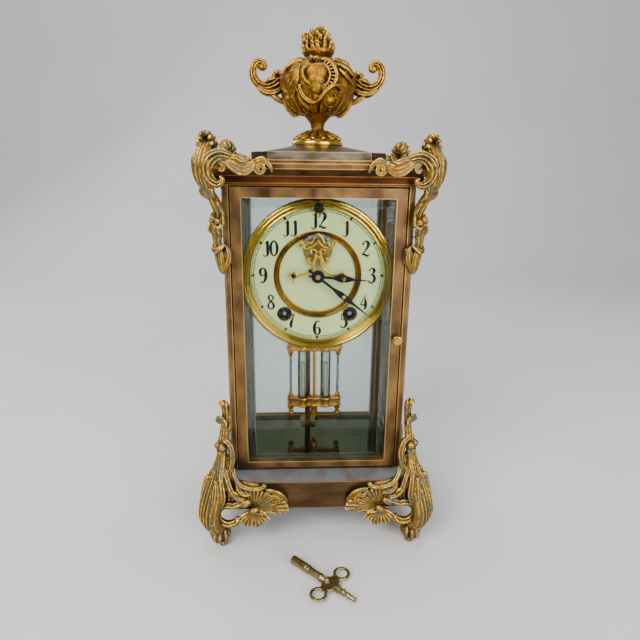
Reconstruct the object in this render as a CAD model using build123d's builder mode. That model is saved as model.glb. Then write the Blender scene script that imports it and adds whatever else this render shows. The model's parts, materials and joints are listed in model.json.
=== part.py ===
from build123d import *
import math
import os

os.makedirs("parts", exist_ok=True)

# Millimetres. Origin on the table midway between the four toe pads, dial faces -Y, +Z up.
case_x = 68.5  # half width over the corner posts
post_y = 46.0  # half depth over the corner posts
stop_y = 38.2  # face of the stop the closed door rests near
side_y = 34.5  # half depth of the side openings
floor_z = 62.0  # polished floor inside the case
case_z0, case_z1 = 59.0, 283.0

base_x, base_y = 80.0, 58.0
base_z0, base_z1 = 30.0, 54.0

door_x, door_y0, door_y1 = 63.3, 45.0, 38.5
door_z0, door_z1 = 59.5, 282.0
stile, top_rail, bottom_rail = 8.0, 7.7, 5.4
glass_y0, glass_y1 = 43.5, 40.5

dial_x, dial_z = 0.0, 216.3
dial_r = 50.8
bezel_r = 56.5
plate_r, plate_z = 44.0, 212.0
front_plate, back_plate = (-18.0, -16.0), (6.0, 8.0)

hole_x, hole_z = 25.4, 186.0  # winding holes
escape_z = 233.0
pallet_z = 246.6
regulator_z = 269.0
pendulum_y = 18.0
fit = 0.05  # running clearance on the radius

minute_deg, hour_deg = 127.7, 94.6


def front(y):
    """Plane facing the dial side at depth y; its own axes are X and Z."""
    return Plane.XZ.offset(-y)


def block(x0, x1, y0, y1, z0, z1):
    with BuildPart() as piece:
        with Locations(((x0 + x1) / 2, (y0 + y1) / 2, (z0 + z1) / 2)):
            Box(abs(x1 - x0), abs(y1 - y0), abs(z1 - z0))
    return piece.part


def drum(x, z, radius, y0, y1, bore=0.0):
    """Round bar or tube lying front to back from y0 (front) to y1 (rear)."""
    with BuildPart() as piece:
        with BuildSketch(front(y1)):
            with Locations((x, z)):
                Circle(radius)
                if bore > 0:
                    Circle(bore, mode=Mode.SUBTRACT)
        extrude(amount=y1 - y0)
    return piece.part


def post(x, y, radius, z0, z1, bore=0.0):
    """Round bar or tube standing up from z0 to z1."""
    with BuildPart() as piece:
        with BuildSketch(Plane.XY.offset(z0)):
            with Locations((x, y)):
                Circle(radius)
                if bore > 0:
                    Circle(bore, mode=Mode.SUBTRACT)
        extrude(amount=z1 - z0)
    return piece.part


def panel(points, y0, y1):
    """Flat plate with a straight-sided outline in X and Z."""
    with BuildPart() as piece:
        with BuildSketch(front(y1)):
            with BuildLine():
                Polyline(*points, close=True)
            make_face()
        extrude(amount=y1 - y0)
    return piece.part


def turned(radius, degrees, x=dial_x, z=dial_z):
    """Point at a clockwise angle from twelve, seen from the front."""
    angle = math.radians(degrees)
    return (x + radius * math.sin(angle), z + radius * math.cos(angle))


def heading(a, b):
    """Clockwise angle from twelve of the line from a to b."""
    return math.degrees(math.atan2(b[0] - a[0], b[1] - a[1]))


def meet(a, ra, b, rb, side):
    """Point at distance ra from a and rb from b, on the chosen side."""
    dx, dz = b[0] - a[0], b[1] - a[1]
    d = math.hypot(dx, dz)
    along = (ra**2 - rb**2 + d**2) / (2 * d)
    off = side * math.sqrt(ra**2 - along**2)
    return (a[0] + (dx * along - dz * off) / d, a[1] + (dz * along + dx * off) / d)


def gear(at, teeth, module, y0, y1, bore, tooth_deg, spokes=0):
    """Toothed wheel with one tooth centred on tooth_deg."""
    pitch = 360 / teeth
    radius = teeth * module / 2
    flank = ((-0.24, -0.9), (-0.17, 0), (-0.06, 0.5), (0.06, 0.5), (0.17, 0), (0.24, -0.9))
    outline = []
    for tooth in range(teeth):
        for turn, rise in flank:
            angle = tooth_deg + (tooth + turn) * pitch
            outline.append(turned(radius + rise * module, angle, *at))
    rim = radius - 2.6 * module
    hub = max(bore + 1.0, 0.22 * radius)
    with BuildPart() as piece:
        with BuildSketch(front(y1)):
            with BuildLine():
                Polyline(*outline, close=True)
            make_face()
            with Locations(at):
                if bore > 0:
                    Circle(bore, mode=Mode.SUBTRACT)
                if spokes:
                    Circle(rim, mode=Mode.SUBTRACT)
                    Circle(hub)
                    Circle(bore, mode=Mode.SUBTRACT)
            for arm in range(spokes):
                middle = turned((rim + hub) / 2, tooth_deg + arm * 360 / spokes, *at)
                with Locations(Location((middle[0], middle[1], 0), -tooth_deg - arm * 360 / spokes)):
                    Rectangle(1.6, rim - hub + 0.6)
        extrude(amount=y1 - y0)
    return piece.part


def curved(points, plane, amount, both=False):
    """Solid from a closed smooth outline drawn on a plane."""
    with BuildPart() as piece:
        with BuildSketch(plane):
            with BuildLine():
                Spline(*points, periodic=True)
            make_face()
        extrude(amount=amount, both=both)
    return piece.part


def spun(points, x=0.0, y=0.0):
    """Turned solid: closed outline of (radius, height) spun about an upright axis."""
    with BuildPart() as piece:
        with BuildSketch(Plane.XZ):
            with BuildLine():
                Polyline(*points, close=True)
            make_face()
        revolve(axis=Axis.Z)
    return piece.part.moved(Location((x, y, 0)))


# ---------------------------------------------------------------- base
with BuildPart() as base_plinth:
    with BuildSketch(Plane.XY.offset(base_z0)):
        Rectangle(2 * base_x, 2 * base_y)
    extrude(amount=base_z1 - base_z0)
    with BuildSketch(Plane.XY.offset(base_z1)):
        Rectangle(2 * base_x - 2, 2 * base_y - 2)
    with BuildSketch(Plane.XY.offset(case_z0)):
        Rectangle(2 * case_x + 2, 2 * post_y + 2)
    loft()
    with BuildSketch(Plane.XY.offset(base_z0)):
        Rectangle(2 * base_x - 10, 2 * base_y - 10)
    extrude(amount=20, mode=Mode.SUBTRACT)
base_plinth.part.label = "base_plinth"
export_step(base_plinth.part, "parts/base_plinth.step")

with BuildPart() as floor_plate:
    add(block(-57.9, 57.9, -38, 38, case_z0, floor_z))
    chamfer(floor_plate.edges().group_by(Axis.Z)[-1], 0.4)
floor_plate.part.label = "floor_plate"
export_step(floor_plate.part, "parts/floor_plate.step")

# ---------------------------------------------------------------- case walls
latch_z = 170.0
with BuildPart() as corner_posts:
    for sx in (-1, 1):
        for sy in (-1, 1):
            add(block(sx * 63.9, sx * case_x, sy * side_y, sy * post_y, case_z0, case_z1))
            add(block(sx * 58, sx * 63.9, sy * side_y, sy * stop_y, case_z0, case_z1))
    outer = corner_posts.edges().filter_by(Axis.Z).filter_by(
        lambda e: abs(abs(e.center().X) - case_x) < 0.01 and abs(abs(e.center().Y) - post_y) < 0.01
    )
    chamfer(outer, 1.0)
    for side in (-1, 1):
        add(
            block(side * 57, side * 66.6, side * 34, side * 40.5, latch_z - 7, latch_z + 3),
            mode=Mode.SUBTRACT,
        )
        add(
            block(side * 57, side * 66.6, side * -34, side * -40.5, latch_z - 7, latch_z + 3),
            mode=Mode.SUBTRACT,
        )
corner_posts.part.label = "corner_posts"
export_step(corner_posts.part, "parts/corner_posts.step")

with BuildPart() as side_frames:
    for sx in (-1, 1):
        add(block(sx * 62, sx * case_x, -side_y, side_y, case_z0, 65))
        add(block(sx * 62, sx * case_x, -side_y, side_y, 275, case_z1))
side_frames.part.label = "side_frames"
export_step(side_frames.part, "parts/side_frames.step")

with BuildPart() as side_glass:
    for sx in (-1, 1):
        add(block(sx * 64, sx * 67, -side_y, side_y, 65, 275))
    chamfer(side_glass.faces().filter_by(lambda f: abs(abs(f.center().X) - 67) < 0.01).edges(), 1.4)
side_glass.part.label = "side_glass"
export_step(side_glass.part, "parts/side_glass.step")

# ---------------------------------------------------------------- top
with BuildPart() as frieze:
    with BuildSketch(Plane.XY.offset(case_z1)):
        Rectangle(2 * 71, 2 * 48.5)
        Rectangle(2 * 62, 2 * 40, mode=Mode.SUBTRACT)
    extrude(amount=1.5)
    with BuildSketch(Plane.XY.offset(284.5)):
        Rectangle(2 * 72.5, 2 * 50)
        Rectangle(2 * 62, 2 * 40, mode=Mode.SUBTRACT)
    extrude(amount=5)
frieze.part.label = "frieze"
export_step(frieze.part, "parts/frieze.step")

with BuildPart() as cornice:
    with BuildSketch(Plane.XY.offset(289.5)):
        Rectangle(2 * 72.5, 2 * 50)
    with BuildSketch(Plane.XY.offset(294)):
        Rectangle(2 * 79, 2 * 57)
    loft()
    with BuildSketch(Plane.XY.offset(294)):
        Rectangle(2 * base_x, 2 * base_y)
    extrude(amount=3.6)
    with BuildSketch(Plane.XY.offset(297.6)):
        RectangleRounded(2 * 62, 2 * 50, 3)
    extrude(amount=2.4)
    with BuildSketch(Plane.XY.offset(289.5)):
        Rectangle(2 * 62, 2 * 40)
    extrude(amount=6, mode=Mode.SUBTRACT)
    add(post(0, 0, 2.6, 290, 301), mode=Mode.SUBTRACT)
cornice.part.label = "cornice"
export_step(cornice.part, "parts/cornice.step")

deck_z0, deck_z1, deck_x, deck_y, deck_cut = 300.0, 305.6, 48.0, 45.0, 12.0
with BuildPart() as top_platform:
    with BuildSketch(Plane.XY.offset(deck_z0)):
        Rectangle(2 * deck_x, 2 * deck_y)
    extrude(amount=deck_z1 - deck_z0)
    chamfer(top_platform.edges().filter_by(Axis.Z), deck_cut)
    with BuildSketch(Plane.XY.offset(deck_z1)):
        Rectangle(80, 74)
    with BuildSketch(Plane.XY.offset(311)):
        Circle(19.5)
    loft()
    add(post(0, 0, 2.6, deck_z0, 312), mode=Mode.SUBTRACT)
top_platform.part.label = "top_platform"
export_step(top_platform.part, "parts/top_platform.step")

# ---------------------------------------------------------------- urn
with BuildPart() as urn_foot:
    add(spun([(2.6, 311), (19.5, 311), (19.5, 314.2), (18.3, 315), (16.5, 315), (14.5, 317.6), (9.5, 319.6),
              (5.6, 322), (5.0, 324), (6.0, 328), (9.6, 332.4), (9.6, 334), (2.6, 334)]))
urn_foot.part.label = "urn_foot"
export_step(urn_foot.part, "parts/urn_foot.step")

with BuildPart() as urn_bowl:
    add(spun([(2.6, 334), (12, 334), (17, 336.4), (23.5, 343), (28, 351), (29, 356), (28.4, 360), (25, 365),
              (19, 368.4), (14, 370), (9.5, 372), (2.6, 372)]))
    add(spun([(2.6, 338), (12, 338), (19, 346), (22, 356), (17, 362), (8, 366), (2.6, 366)]), mode=Mode.SUBTRACT)
urn_bowl.part.label = "urn_bowl"
export_step(urn_bowl.part, "parts/urn_bowl.step")

for side, name in ((-1, "urn_handle_left"), (1, "urn_handle_right")):
    with BuildPart() as urn_handle:
        with BuildLine() as scroll:
            Spline(*[(side * x, 0, z) for x, z in (
                (26.4, 346.6), (37.4, 350.6), (45.5, 355), (47.2, 362), (43.4, 369.6), (38.6, 367.6), (39.6, 363.6))])
        with BuildSketch(Plane(scroll.line @ 0, z_dir=scroll.line % 0)):
            Circle(2.3)
        sweep(path=scroll.line)
        with Locations((side * 39.8, 0, 364.4)):
            Sphere(3.0)
        add(curved([(side * x, z) for x, z in ((24, 342), (27, 339), (36, 343), (38, 348), (31, 350.5), (25, 348))],
                   front(4), 8))
        add(urn_bowl.part, mode=Mode.SUBTRACT)
        add(spun([(0, 336.4), (16.9, 336.4), (23.4, 343), (27.9, 351), (0, 351)]), mode=Mode.SUBTRACT)
    urn_handle.part.label = name
    export_step(urn_handle.part, f"parts/{name}.step")

with BuildPart() as urn_flame:
    add(spun([(0, 372), (9.2, 372), (11.5, 375), (11.5, 377), (8, 379), (7, 380.5), (9.5, 383), (10, 386),
              (7.5, 390), (4, 393), (1.2, 394.4), (0, 394.4)]))
    with PolarLocations(9.4, 8):
        with Locations((0, 0, 384.5)):
            Cylinder(0.8, 4.6, mode=Mode.SUBTRACT)
    add(post(0, 0, 2.5, 289, 372.5))
    with BuildSketch(Plane.XY.offset(291.5)):
        RegularPolygon(5, 6)
    extrude(amount=4)
urn_flame.part.label = "urn_flame"
export_step(urn_flame.part, "parts/urn_flame.step")

# ---------------------------------------------------------------- corner castings
hinge_x, hinge_y, swing_r = 62.2, 43.9, 126.3  # a door's pivot, and the path of its free edge with room to spare
pad_x, pad_y, pad_r = 77.0, 57.0, 6.0
corner_names = {(-1, -1): "front_left", (1, -1): "front_right", (-1, 1): "rear_left", (1, 1): "rear_right"}


def crossed(profile, width, sx, sy):
    """Casting cut from a side outline and a front outline, standing on a case diagonal."""
    out = Vector(sx, sy, 0).normalized()
    across = Plane(origin=(sx * 64, sy * 44, 0), x_dir=out, z_dir=out.cross(Vector(0, 0, 1)))
    facing = Plane(origin=(sx * 64, sy * 44, 0), x_dir=Vector(0, 0, 1).cross(out), z_dir=out)
    body = curved(profile, across, 30, both=True)
    outline = [(w, z) for w, z in width] + [(-w, z) for w, z in reversed(width)]
    return body & curved(outline, facing, 60, both=True)


stem_side = [(6, 221.5), (9.5, 226), (11.5, 238), (12.5, 248), (13.4, 259), (16, 269), (18.5, 279), (23, 286),
             (27.2, 296), (26.4, 305), (22, 312), (15.5, 317.6), (10.6, 315.5), (11.6, 309), (17, 304.5),
             (18.4, 299), (15, 290), (11.5, 280), (9.6, 268), (8.6, 258), (8.0, 246), (7.4, 232)]
stem_width = [(1.6, 219), (4.6, 228), (5.4, 238), (3.2, 247), (3.6, 259), (3.2, 269), (4.0, 279), (5.4, 287),
              (6.4, 297), (6.2, 307), (5.0, 314), (2.4, 319)]
arm_front = [(78, 285), (66, 285.5), (58, 288), (50, 287), (42, 290.5), (38, 293.5), (41, 297), (48, 296),
             (56, 299), (64, 302), (72, 304), (79, 302)]
foot_side = [(11, 1), (22, 1), (24, 6), (23, 13), (27, 19), (30.5, 28), (29, 38), (25, 47), (20.5, 58),
             (17, 70), (15.5, 82), (13.5, 96), (10, 108), (7.5, 122), (5.5, 116), (4.8, 100), (4.6, 80),
             (4.5, 60), (8, 45), (16, 33), (18, 25), (15, 16), (11, 10)]
foot_width = [(6.0, -4), (6.4, 6), (6.2, 14), (8, 22), (9, 32), (8.4, 44), (7.0, 56), (5.4, 68), (4.6, 80),
              (4.2, 92), (3.4, 104), (2.2, 118), (1.2, 124)]
spray_front = [(88, 26), (80, 19), (70, 17), (62, 20), (58, 27), (48, 27), (36, 31), (26, 37), (24, 42), (30, 48),
               (42, 51), (54, 57), (62, 66), (70, 72), (80, 62), (86, 46)]

with BuildPart() as case_shell:
    add(block(-base_x, base_x, -base_y, base_y, base_z0, base_z1))
    add(base_plinth.part)
    add(block(-case_x, case_x, -post_y, post_y, case_z0, case_z1))
    add(frieze.part)
    add(block(-72.5, 72.5, -50, 50, 284.5, 292))
    add(cornice.part)
shell = case_shell.part

for (sx, sy), name in corner_names.items():
    with BuildPart() as top_mount:
        add(crossed(stem_side, stem_width, sx, sy))
        add(curved([(sx * x, z) for x, z in arm_front], front(sy * 61.6), 3.6, both=True))
        with BuildSketch(Plane.YZ.offset(sx * 83.6)):
            with BuildLine():
                Spline(*[(sy * (x - 24), z) for x, z in arm_front], periodic=True)
            make_face()
        extrude(amount=3.6, both=True)
        with Locations((sx * 41.4, sy * 61.6, 293.4)):
            Sphere(3.4)
        with Locations((sx * 83.6, sy * 17.4, 293.4)):
            Sphere(3.4)
        add(shell, mode=Mode.SUBTRACT)
        add(block(sx * 50, sx * 69, sy * 30, sy * 46.6, 215, 283), mode=Mode.SUBTRACT)
    top_mount.part.label = f"top_mount_{name}"
    export_step(top_mount.part, f"parts/top_mount_{name}.step")

    with BuildPart() as foot:
        add(crossed(foot_side, foot_width, sx, sy))
        add(curved([(sx * x, z) for x, z in spray_front], front(sy * 62.0), 4.0, both=True))
        with BuildSketch(Plane.YZ.offset(sx * 84.0)):
            with BuildLine():
                Spline(*[(sy * (x - 22), z) for x, z in spray_front], periodic=True)
            make_face()
        extrude(amount=4.0, both=True)
        add(drum(sx * 70, 27, 4.2, -80 if sy < 0 else 56.5, -56.5 if sy < 0 else 80), mode=Mode.SUBTRACT)
        with BuildSketch(Plane.YZ.offset(sx * 78)):
            with Locations((sy * 48, 27)):
                Circle(4.2)
        extrude(amount=sx * 20, mode=Mode.SUBTRACT)
        add(shell, mode=Mode.SUBTRACT)
        add(block(-base_x + 5, base_x - 5, -base_y + 5, base_y - 5, 20, 50), mode=Mode.SUBTRACT)
        add(block(sx * 40, sx * 69, sy * 30, sy * 46.6, 59, 130), mode=Mode.SUBTRACT)
        add(post(-sx * hinge_x, sy * hinge_y, swing_r, 58.9, 130), mode=Mode.SUBTRACT)
        add(block(sx * 50, sx * 110, sy * 30, sy * 90, -10, 3), mode=Mode.SUBTRACT)
        add(post(sx * pad_x, sy * pad_y, pad_r, 0, 3))
    foot.part.label = f"foot_{name}"
    export_step(foot.part, f"parts/foot_{name}.step")

# ---------------------------------------------------------------- doors
knob_x = 60.3
inner_x = door_x - stile
pane_z0, pane_z1 = door_z0 + bottom_rail, door_z1 - top_rail
for turn, end in ((0, "front"), (180, "rear")):
    facing_way = Location((0, 0, 0), (0, 0, turn))
    with BuildPart() as door_frame:
        for sx in (-1, 1):
            add(block(sx * inner_x, sx * door_x, -door_y0, -door_y1, door_z0, door_z1))
        add(block(-inner_x, inner_x, -door_y0, -door_y1, door_z0, pane_z0))
        add(block(-inner_x, inner_x, -door_y0, -door_y1, pane_z1, door_z1))
        chamfer(door_frame.faces().sort_by(Axis.Y)[0].outer_wire().edges(), 0.5)
        add(drum(knob_x, latch_z, 1.25, -door_y0 - 1, -door_y1 + 1), mode=Mode.SUBTRACT)
        add(door_frame.part.moved(facing_way), mode=Mode.REPLACE)
    door_frame.part.label = f"{end}_door_frame"
    export_step(door_frame.part, f"parts/{end}_door_frame.step")

    with BuildPart() as door_glass:
        add(block(-inner_x, inner_x, -glass_y0 + 1, -glass_y1, pane_z0, pane_z1))
        for depth, inset in ((-glass_y0 + 1, 0), (-glass_y0, 5.5)):
            with BuildSketch(front(depth)):
                with Locations((0, (pane_z0 + pane_z1) / 2)):
                    Rectangle(2 * (inner_x - inset), pane_z1 - pane_z0 - 2 * inset)
        loft()
        add(door_glass.part.moved(facing_way), mode=Mode.REPLACE)
    door_glass.part.label = f"{end}_door_glass"
    export_step(door_glass.part, f"parts/{end}_door_glass.step")

    with BuildPart() as door_knob:
        for radius, near, far in ((1.2, -48.0, -37.0), (2.2, -48.4, -45.2), (3.7, -51.0, -48.4), (2.6, -52.6, -51.0)):
            add(drum(knob_x, latch_z, radius, near, far))
        add(block(knob_x - 1.5, knob_x + 1.5, -38.0, -36.8, latch_z - 5.2, latch_z + 1.5))
        fillet(door_knob.edges().filter_by(GeomType.CIRCLE).filter_by(lambda e: abs(e.radius - 3.7) < 0.01), 0.8)
        add(door_knob.part.moved(facing_way), mode=Mode.REPLACE)
    door_knob.part.label = f"{end}_door_knob"
    export_step(door_knob.part, f"parts/{end}_door_knob.step")

# ---------------------------------------------------------------- train positions
centre = (dial_x, dial_z)
time_at, strike_at = (hole_x, hole_z), (-hole_x, hole_z)
first_at = meet(centre, 15.0, time_at, 27.0, 1)
escape_at, pallet_at = (0.0, escape_z), (0.0, pallet_z)
third_at = meet(centre, 14.28, escape_at, 11.6, -1)
minute_at = turned(9.6, 225)
strike_wheel_at = (-first_at[0], first_at[1])
hammer_at = (-30.0, 226.0)

# ---------------------------------------------------------------- movement frame
pillars = [(0, 171.5), (-39.5, 213), (39.5, 213), (-26, 243), (26, 243)]
bearings = [(time_at, 1.9), (strike_at, 1.9), (first_at, 0.8), (third_at, 0.8), (strike_wheel_at, 0.8),
            (hammer_at, 1.0), (centre, 1.0)]

with BuildPart() as movement_front_plate:
    add(drum(0, plate_z, plate_r, *front_plate))
    for at, radius in bearings + [(escape_at, 0.9), (pallet_at, 0.9)]:
        add(drum(*at, radius + fit, *front_plate), mode=Mode.SUBTRACT)
    for at in pillars:
        add(drum(*at, 1.5, *front_plate), mode=Mode.SUBTRACT)
    add(drum(*minute_at, 0.8, -23, -17))
movement_front_plate.part.label = "movement_front_plate"
export_step(movement_front_plate.part, "parts/movement_front_plate.step")

with BuildPart() as movement_back_plate:
    add(drum(0, plate_z, plate_r, *back_plate))
    for at, radius in bearings + [(escape_at, 0.8), (pallet_at, 0.9)]:
        add(drum(*at, radius + fit, *back_plate), mode=Mode.SUBTRACT)
    for at in pillars:
        add(drum(*at, 2.2, front_plate[1], back_plate[0]))
        add(drum(*at, 1.5, -19.6, front_plate[1]))
        add(drum(*at, 2.6, -20.4, -18.0))
movement_back_plate.part.label = "movement_back_plate"
export_step(movement_back_plate.part, "parts/movement_back_plate.step")

with BuildPart() as movement_brackets:
    for sx in (-1, 1):
        add(block(sx * 36, sx * 61.5, -20, front_plate[0], 216.4, 225))
        add(block(sx * 58, sx * 61.5, -side_y, -20, 216.4, 225))
        add(drum(sx * 39, 220.7, 1.8, -21.4, -20))
movement_brackets.part.label = "movement_brackets"
export_step(movement_brackets.part, "parts/movement_brackets.step")

# ---------------------------------------------------------------- dial
with BuildPart() as dial_pan:
    add(drum(*centre, 55.2, -31, -23.5))
    add(drum(*centre, 54.3, -31, -24.5), mode=Mode.SUBTRACT)
    for at, radius in ((centre, 3.2), (time_at, 2.4), (strike_at, 2.4), (escape_at, 1.6), (pallet_at, 2.0)):
        add(drum(*at, radius, -25, -23), mode=Mode.SUBTRACT)
    add(drum(0, regulator_z, 1.4, -25, -23), mode=Mode.SUBTRACT)
    add(drum(0, regulator_z, 4.2, -32, -28.6), mode=Mode.SUBTRACT)
    for angle in (62, 180, 298):
        add(drum(*turned(36, angle), 1.6, -23.5, front_plate[0]))
dial_pan.part.label = "dial_pan"
export_step(dial_pan.part, "parts/dial_pan.step")

with BuildPart() as dial_bezel:
    with BuildSketch(Plane.XY):
        with BuildLine():
            Polyline((50.8, 31.0), (50.8, 32.0), (52.6, 33.2), (53.2, 34.5), (55.0, 34.5), (56.5, 33.2),
                     (56.5, 31.0), close=True)
        make_face()
    revolve(axis=Axis.Y)
    add(dial_bezel.part.moved(Location((dial_x, 0, dial_z), (0, 0, 180))), mode=Mode.REPLACE)
    add(drum(0, regulator_z, 4.4, -36, -30.5), mode=Mode.SUBTRACT)
dial_bezel.part.label = "dial_bezel"
export_step(dial_bezel.part, "parts/dial_bezel.step")

with BuildPart() as chapter_ring:
    add(drum(*centre, 54.2, -30.8, -28.6, 33.7))
    for at in (time_at, strike_at, (0, regulator_z)):
        add(drum(*at, 4.2, -31.2, -28), mode=Mode.SUBTRACT)
chapter_ring.part.label = "chapter_ring"
export_step(chapter_ring.part, "parts/chapter_ring.step")

with BuildPart() as dial_inner_ring:
    add(drum(*centre, 33.7, -31.6, -24.5, 32.6))
    add(drum(*centre, 34.6, -31.6, -30.8, 33.0))
    add(drum(*centre, 32.7, -29.6, -27.5, 32.2))
dial_inner_ring.part.label = "dial_inner_ring"
export_step(dial_inner_ring.part, "parts/dial_inner_ring.step")

with BuildPart() as dial_centre:
    add(drum(*centre, 32.6, -27.5, -26.7, 3.2))
    add(drum(0, 236.6, 11.4, -28, -26), mode=Mode.SUBTRACT)
    for sx in (-1, 1):
        add(drum(sx * 18.5, dial_z, 1.7, -28, -26), mode=Mode.SUBTRACT)
dial_centre.part.label = "dial_centre"
export_step(dial_centre.part, "parts/dial_centre.step")

with BuildPart() as winding_eyelets:
    for at in (time_at, strike_at):
        add(drum(*at, 4.2, -30.8, -28.6, 3.0))
        add(drum(*at, 4.8, -31.4, -30.8, 3.0))
    add(drum(0, regulator_z, 4.2, -33.4, -28.6, 2.0))
winding_eyelets.part.label = "winding_eyelets"
export_step(winding_eyelets.part, "parts/winding_eyelets.step")

with BuildPart() as escapement_bridge:
    for sx in (-1, 1):
        add(panel([(sx * 20.2, 214.6), (sx * 20.2, 218), (sx * 12, 221.6), (sx * 9, 226), (sx * 5, 231), (sx * 1.6, 238),
                   (0, 238), (0, 229.6), (sx * 3.4, 225.2), (sx * 6, 220.4), (sx * 11.4, 217.6), (sx * 17.4, 214.6)],
                  -33.5, -32.5))
        add(drum(sx * 18.5, dial_z, 3.0, -33.5, -32.5))
        add(drum(sx * 18.5, dial_z, 1.6, -32.5, -24.5))
        add(drum(sx * 18.5, dial_z, 2.3, -34.4, -33.5))
        with BuildSketch(front(-33.5)):
            with Locations(Location((sx * 9.2, 225.5, 0), sx * -38)):
                Ellipse(1.6, 4.2)
        extrude(amount=-1.0)
    add(drum(0, escape_z, 4.0, -33.5, -32.5))
    add(panel([(-1.6, 233), (1.6, 233), (1.6, 249), (0, 251), (-1.6, 249)], -33.5, -32.5))
    for at in (escape_at, pallet_at):
        add(drum(*at, 0.5 + fit, -34, -32), mode=Mode.SUBTRACT)
escapement_bridge.part.label = "escapement_bridge"
export_step(escapement_bridge.part, "parts/escapement_bridge.step")

# ---------------------------------------------------------------- hands and motion work
minute_hand_y, hour_hand_y = (-37.6, -37.0), (-36.3, -35.7)


def hand(length, tail, blade, degrees, depth, boss, bore):
    """Pierced hand with a round boss, pointing at a clockwise angle."""
    angle = math.radians(degrees)
    out = Vector(math.sin(angle), math.cos(angle))
    side = Vector(out.Y, -out.X)
    shape = [(-tail, 0.9), (0.30 * length, 1.0), (0.44 * length, blade), (0.58 * length, blade * 0.9),
             (0.70 * length, 1.0), (length, 0.25)]
    edge = [(dial_x + out.X * a + side.X * w, dial_z + out.Y * a + side.Y * w) for a, w in shape]
    edge += [(dial_x + out.X * a - side.X * w, dial_z + out.Y * a - side.Y * w) for a, w in reversed(shape)]
    eye = (dial_x + out.X * 0.51 * length, dial_z + out.Y * 0.51 * length)
    with BuildPart() as piece:
        add(panel(edge, *depth))
        add(drum(*centre, boss, *depth))
        add(drum(*eye, blade * 0.55, depth[0] - 1, depth[1] + 1), mode=Mode.SUBTRACT)
        add(drum(*centre, bore, depth[0] - 1, depth[1] + 1), mode=Mode.SUBTRACT)
    return piece.part


with BuildPart() as minute_hand:
    add(hand(49.5, 9.0, 2.4, minute_deg, minute_hand_y, 3.6, 1.0))
    add(drum(*centre, 1.7, minute_hand_y[1], -20.4, 1.0))
    add(gear(centre, 12, 0.4, -20.4, -19.2, 1.0, heading(centre, minute_at) + 15))
minute_hand.part.label = "minute_hand"
export_step(minute_hand.part, "parts/minute_hand.step")

with BuildPart() as hour_hand:
    add(hand(38.8, 7.0, 2.8, hour_deg, hour_hand_y, 5.0, 1.7 + fit))
    add(drum(*centre, 2.5, hour_hand_y[1], -22.6, 1.7 + fit))
    add(gear(centre, 40, 0.384, -22.6, -21.6, 1.7 + fit, heading(minute_at, centre) + 180))
hour_hand.part.label = "hour_hand"
export_step(hour_hand.part, "parts/hour_hand.step")

with BuildPart() as minute_wheel:
    add(gear(minute_at, 36, 0.4, -20.4, -19.2, 0.8 + fit, heading(minute_at, centre)))
    add(gear(minute_at, 10, 0.384, -22.6, -20.4, 0.8 + fit, heading(minute_at, centre) + 18))
minute_wheel.part.label = "minute_wheel"
export_step(minute_wheel.part, "parts/minute_wheel.step")

with BuildPart() as centre_arbor:
    add(drum(*centre, 1.0, -38.6, 8.2))
    add(drum(*centre, 1.8, -38.6, -37.6, 1.0))
    add(gear(centre, 60, 0.42, -9.0, -7.5, 1.0, heading(centre, third_at), 5))
    add(gear(centre, 12, 0.5, 2.8, 5.2, 1.0, heading(first_at, centre) + 180 + 15))
centre_arbor.part.label = "centre_arbor"
export_step(centre_arbor.part, "parts/centre_arbor.step")

# ---------------------------------------------------------------- time and strike trains
with BuildPart() as first_wheel:
    add(drum(*first_at, 0.8, -18.0, 8.0))
    add(gear(first_at, 10, 0.6, -14.0, -11.0, 0.8, heading(time_at, first_at) + 180 + 18))
    add(gear(first_at, 48, 0.5, 3.2, 4.8, 0.8, heading(first_at, centre), 5))
first_wheel.part.label = "first_wheel"
export_step(first_wheel.part, "parts/first_wheel.step")

with BuildPart() as third_wheel:
    add(drum(*third_at, 0.8, -18.0, 8.0))
    add(gear(third_at, 8, 0.42, -9.6, -6.9, 0.8, heading(centre, third_at) + 180 + 22.5))
    add(gear(third_at, 50, 0.4, -5.2, -3.8, 0.8, heading(third_at, escape_at), 5))
third_wheel.part.label = "third_wheel"
export_step(third_wheel.part, "parts/third_wheel.step")

with BuildPart() as escape_wheel:
    add(drum(*escape_at, 0.8, -31.8, 8.0))
    add(drum(*escape_at, 0.5, -34.2, -31.8))
    add(gear(escape_at, 8, 0.4, -6.0, -3.0, 0.8, heading(third_at, escape_at) + 180 + 22.5))
    with BuildSketch(front(-28.9)):
        with Locations(escape_at):
            Circle(9.0)
            Circle(7.6, mode=Mode.SUBTRACT)
            Circle(2.4)
            Circle(0.8, mode=Mode.SUBTRACT)
        for arm in range(4):
            middle = turned(5, arm * 90, *escape_at)
            with Locations(Location((middle[0], middle[1], 0), -arm * 90)):
                Rectangle(1.1, 5.6)
    extrude(amount=0.8)
    teeth = []
    for tooth in range(24):
        lean = tooth * 15
        teeth.append([turned(8.7, lean, *escape_at), turned(8.7, lean + 5, *escape_at),
                      turned(11.1, lean + 5.4, *escape_at), turned(11.1, lean + 4.4, *escape_at)])
    for tooth in teeth:
        add(panel(tooth, -29.7, -28.9))
escape_wheel.part.label = "escape_wheel"
export_step(escape_wheel.part, "parts/escape_wheel.step")

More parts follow.
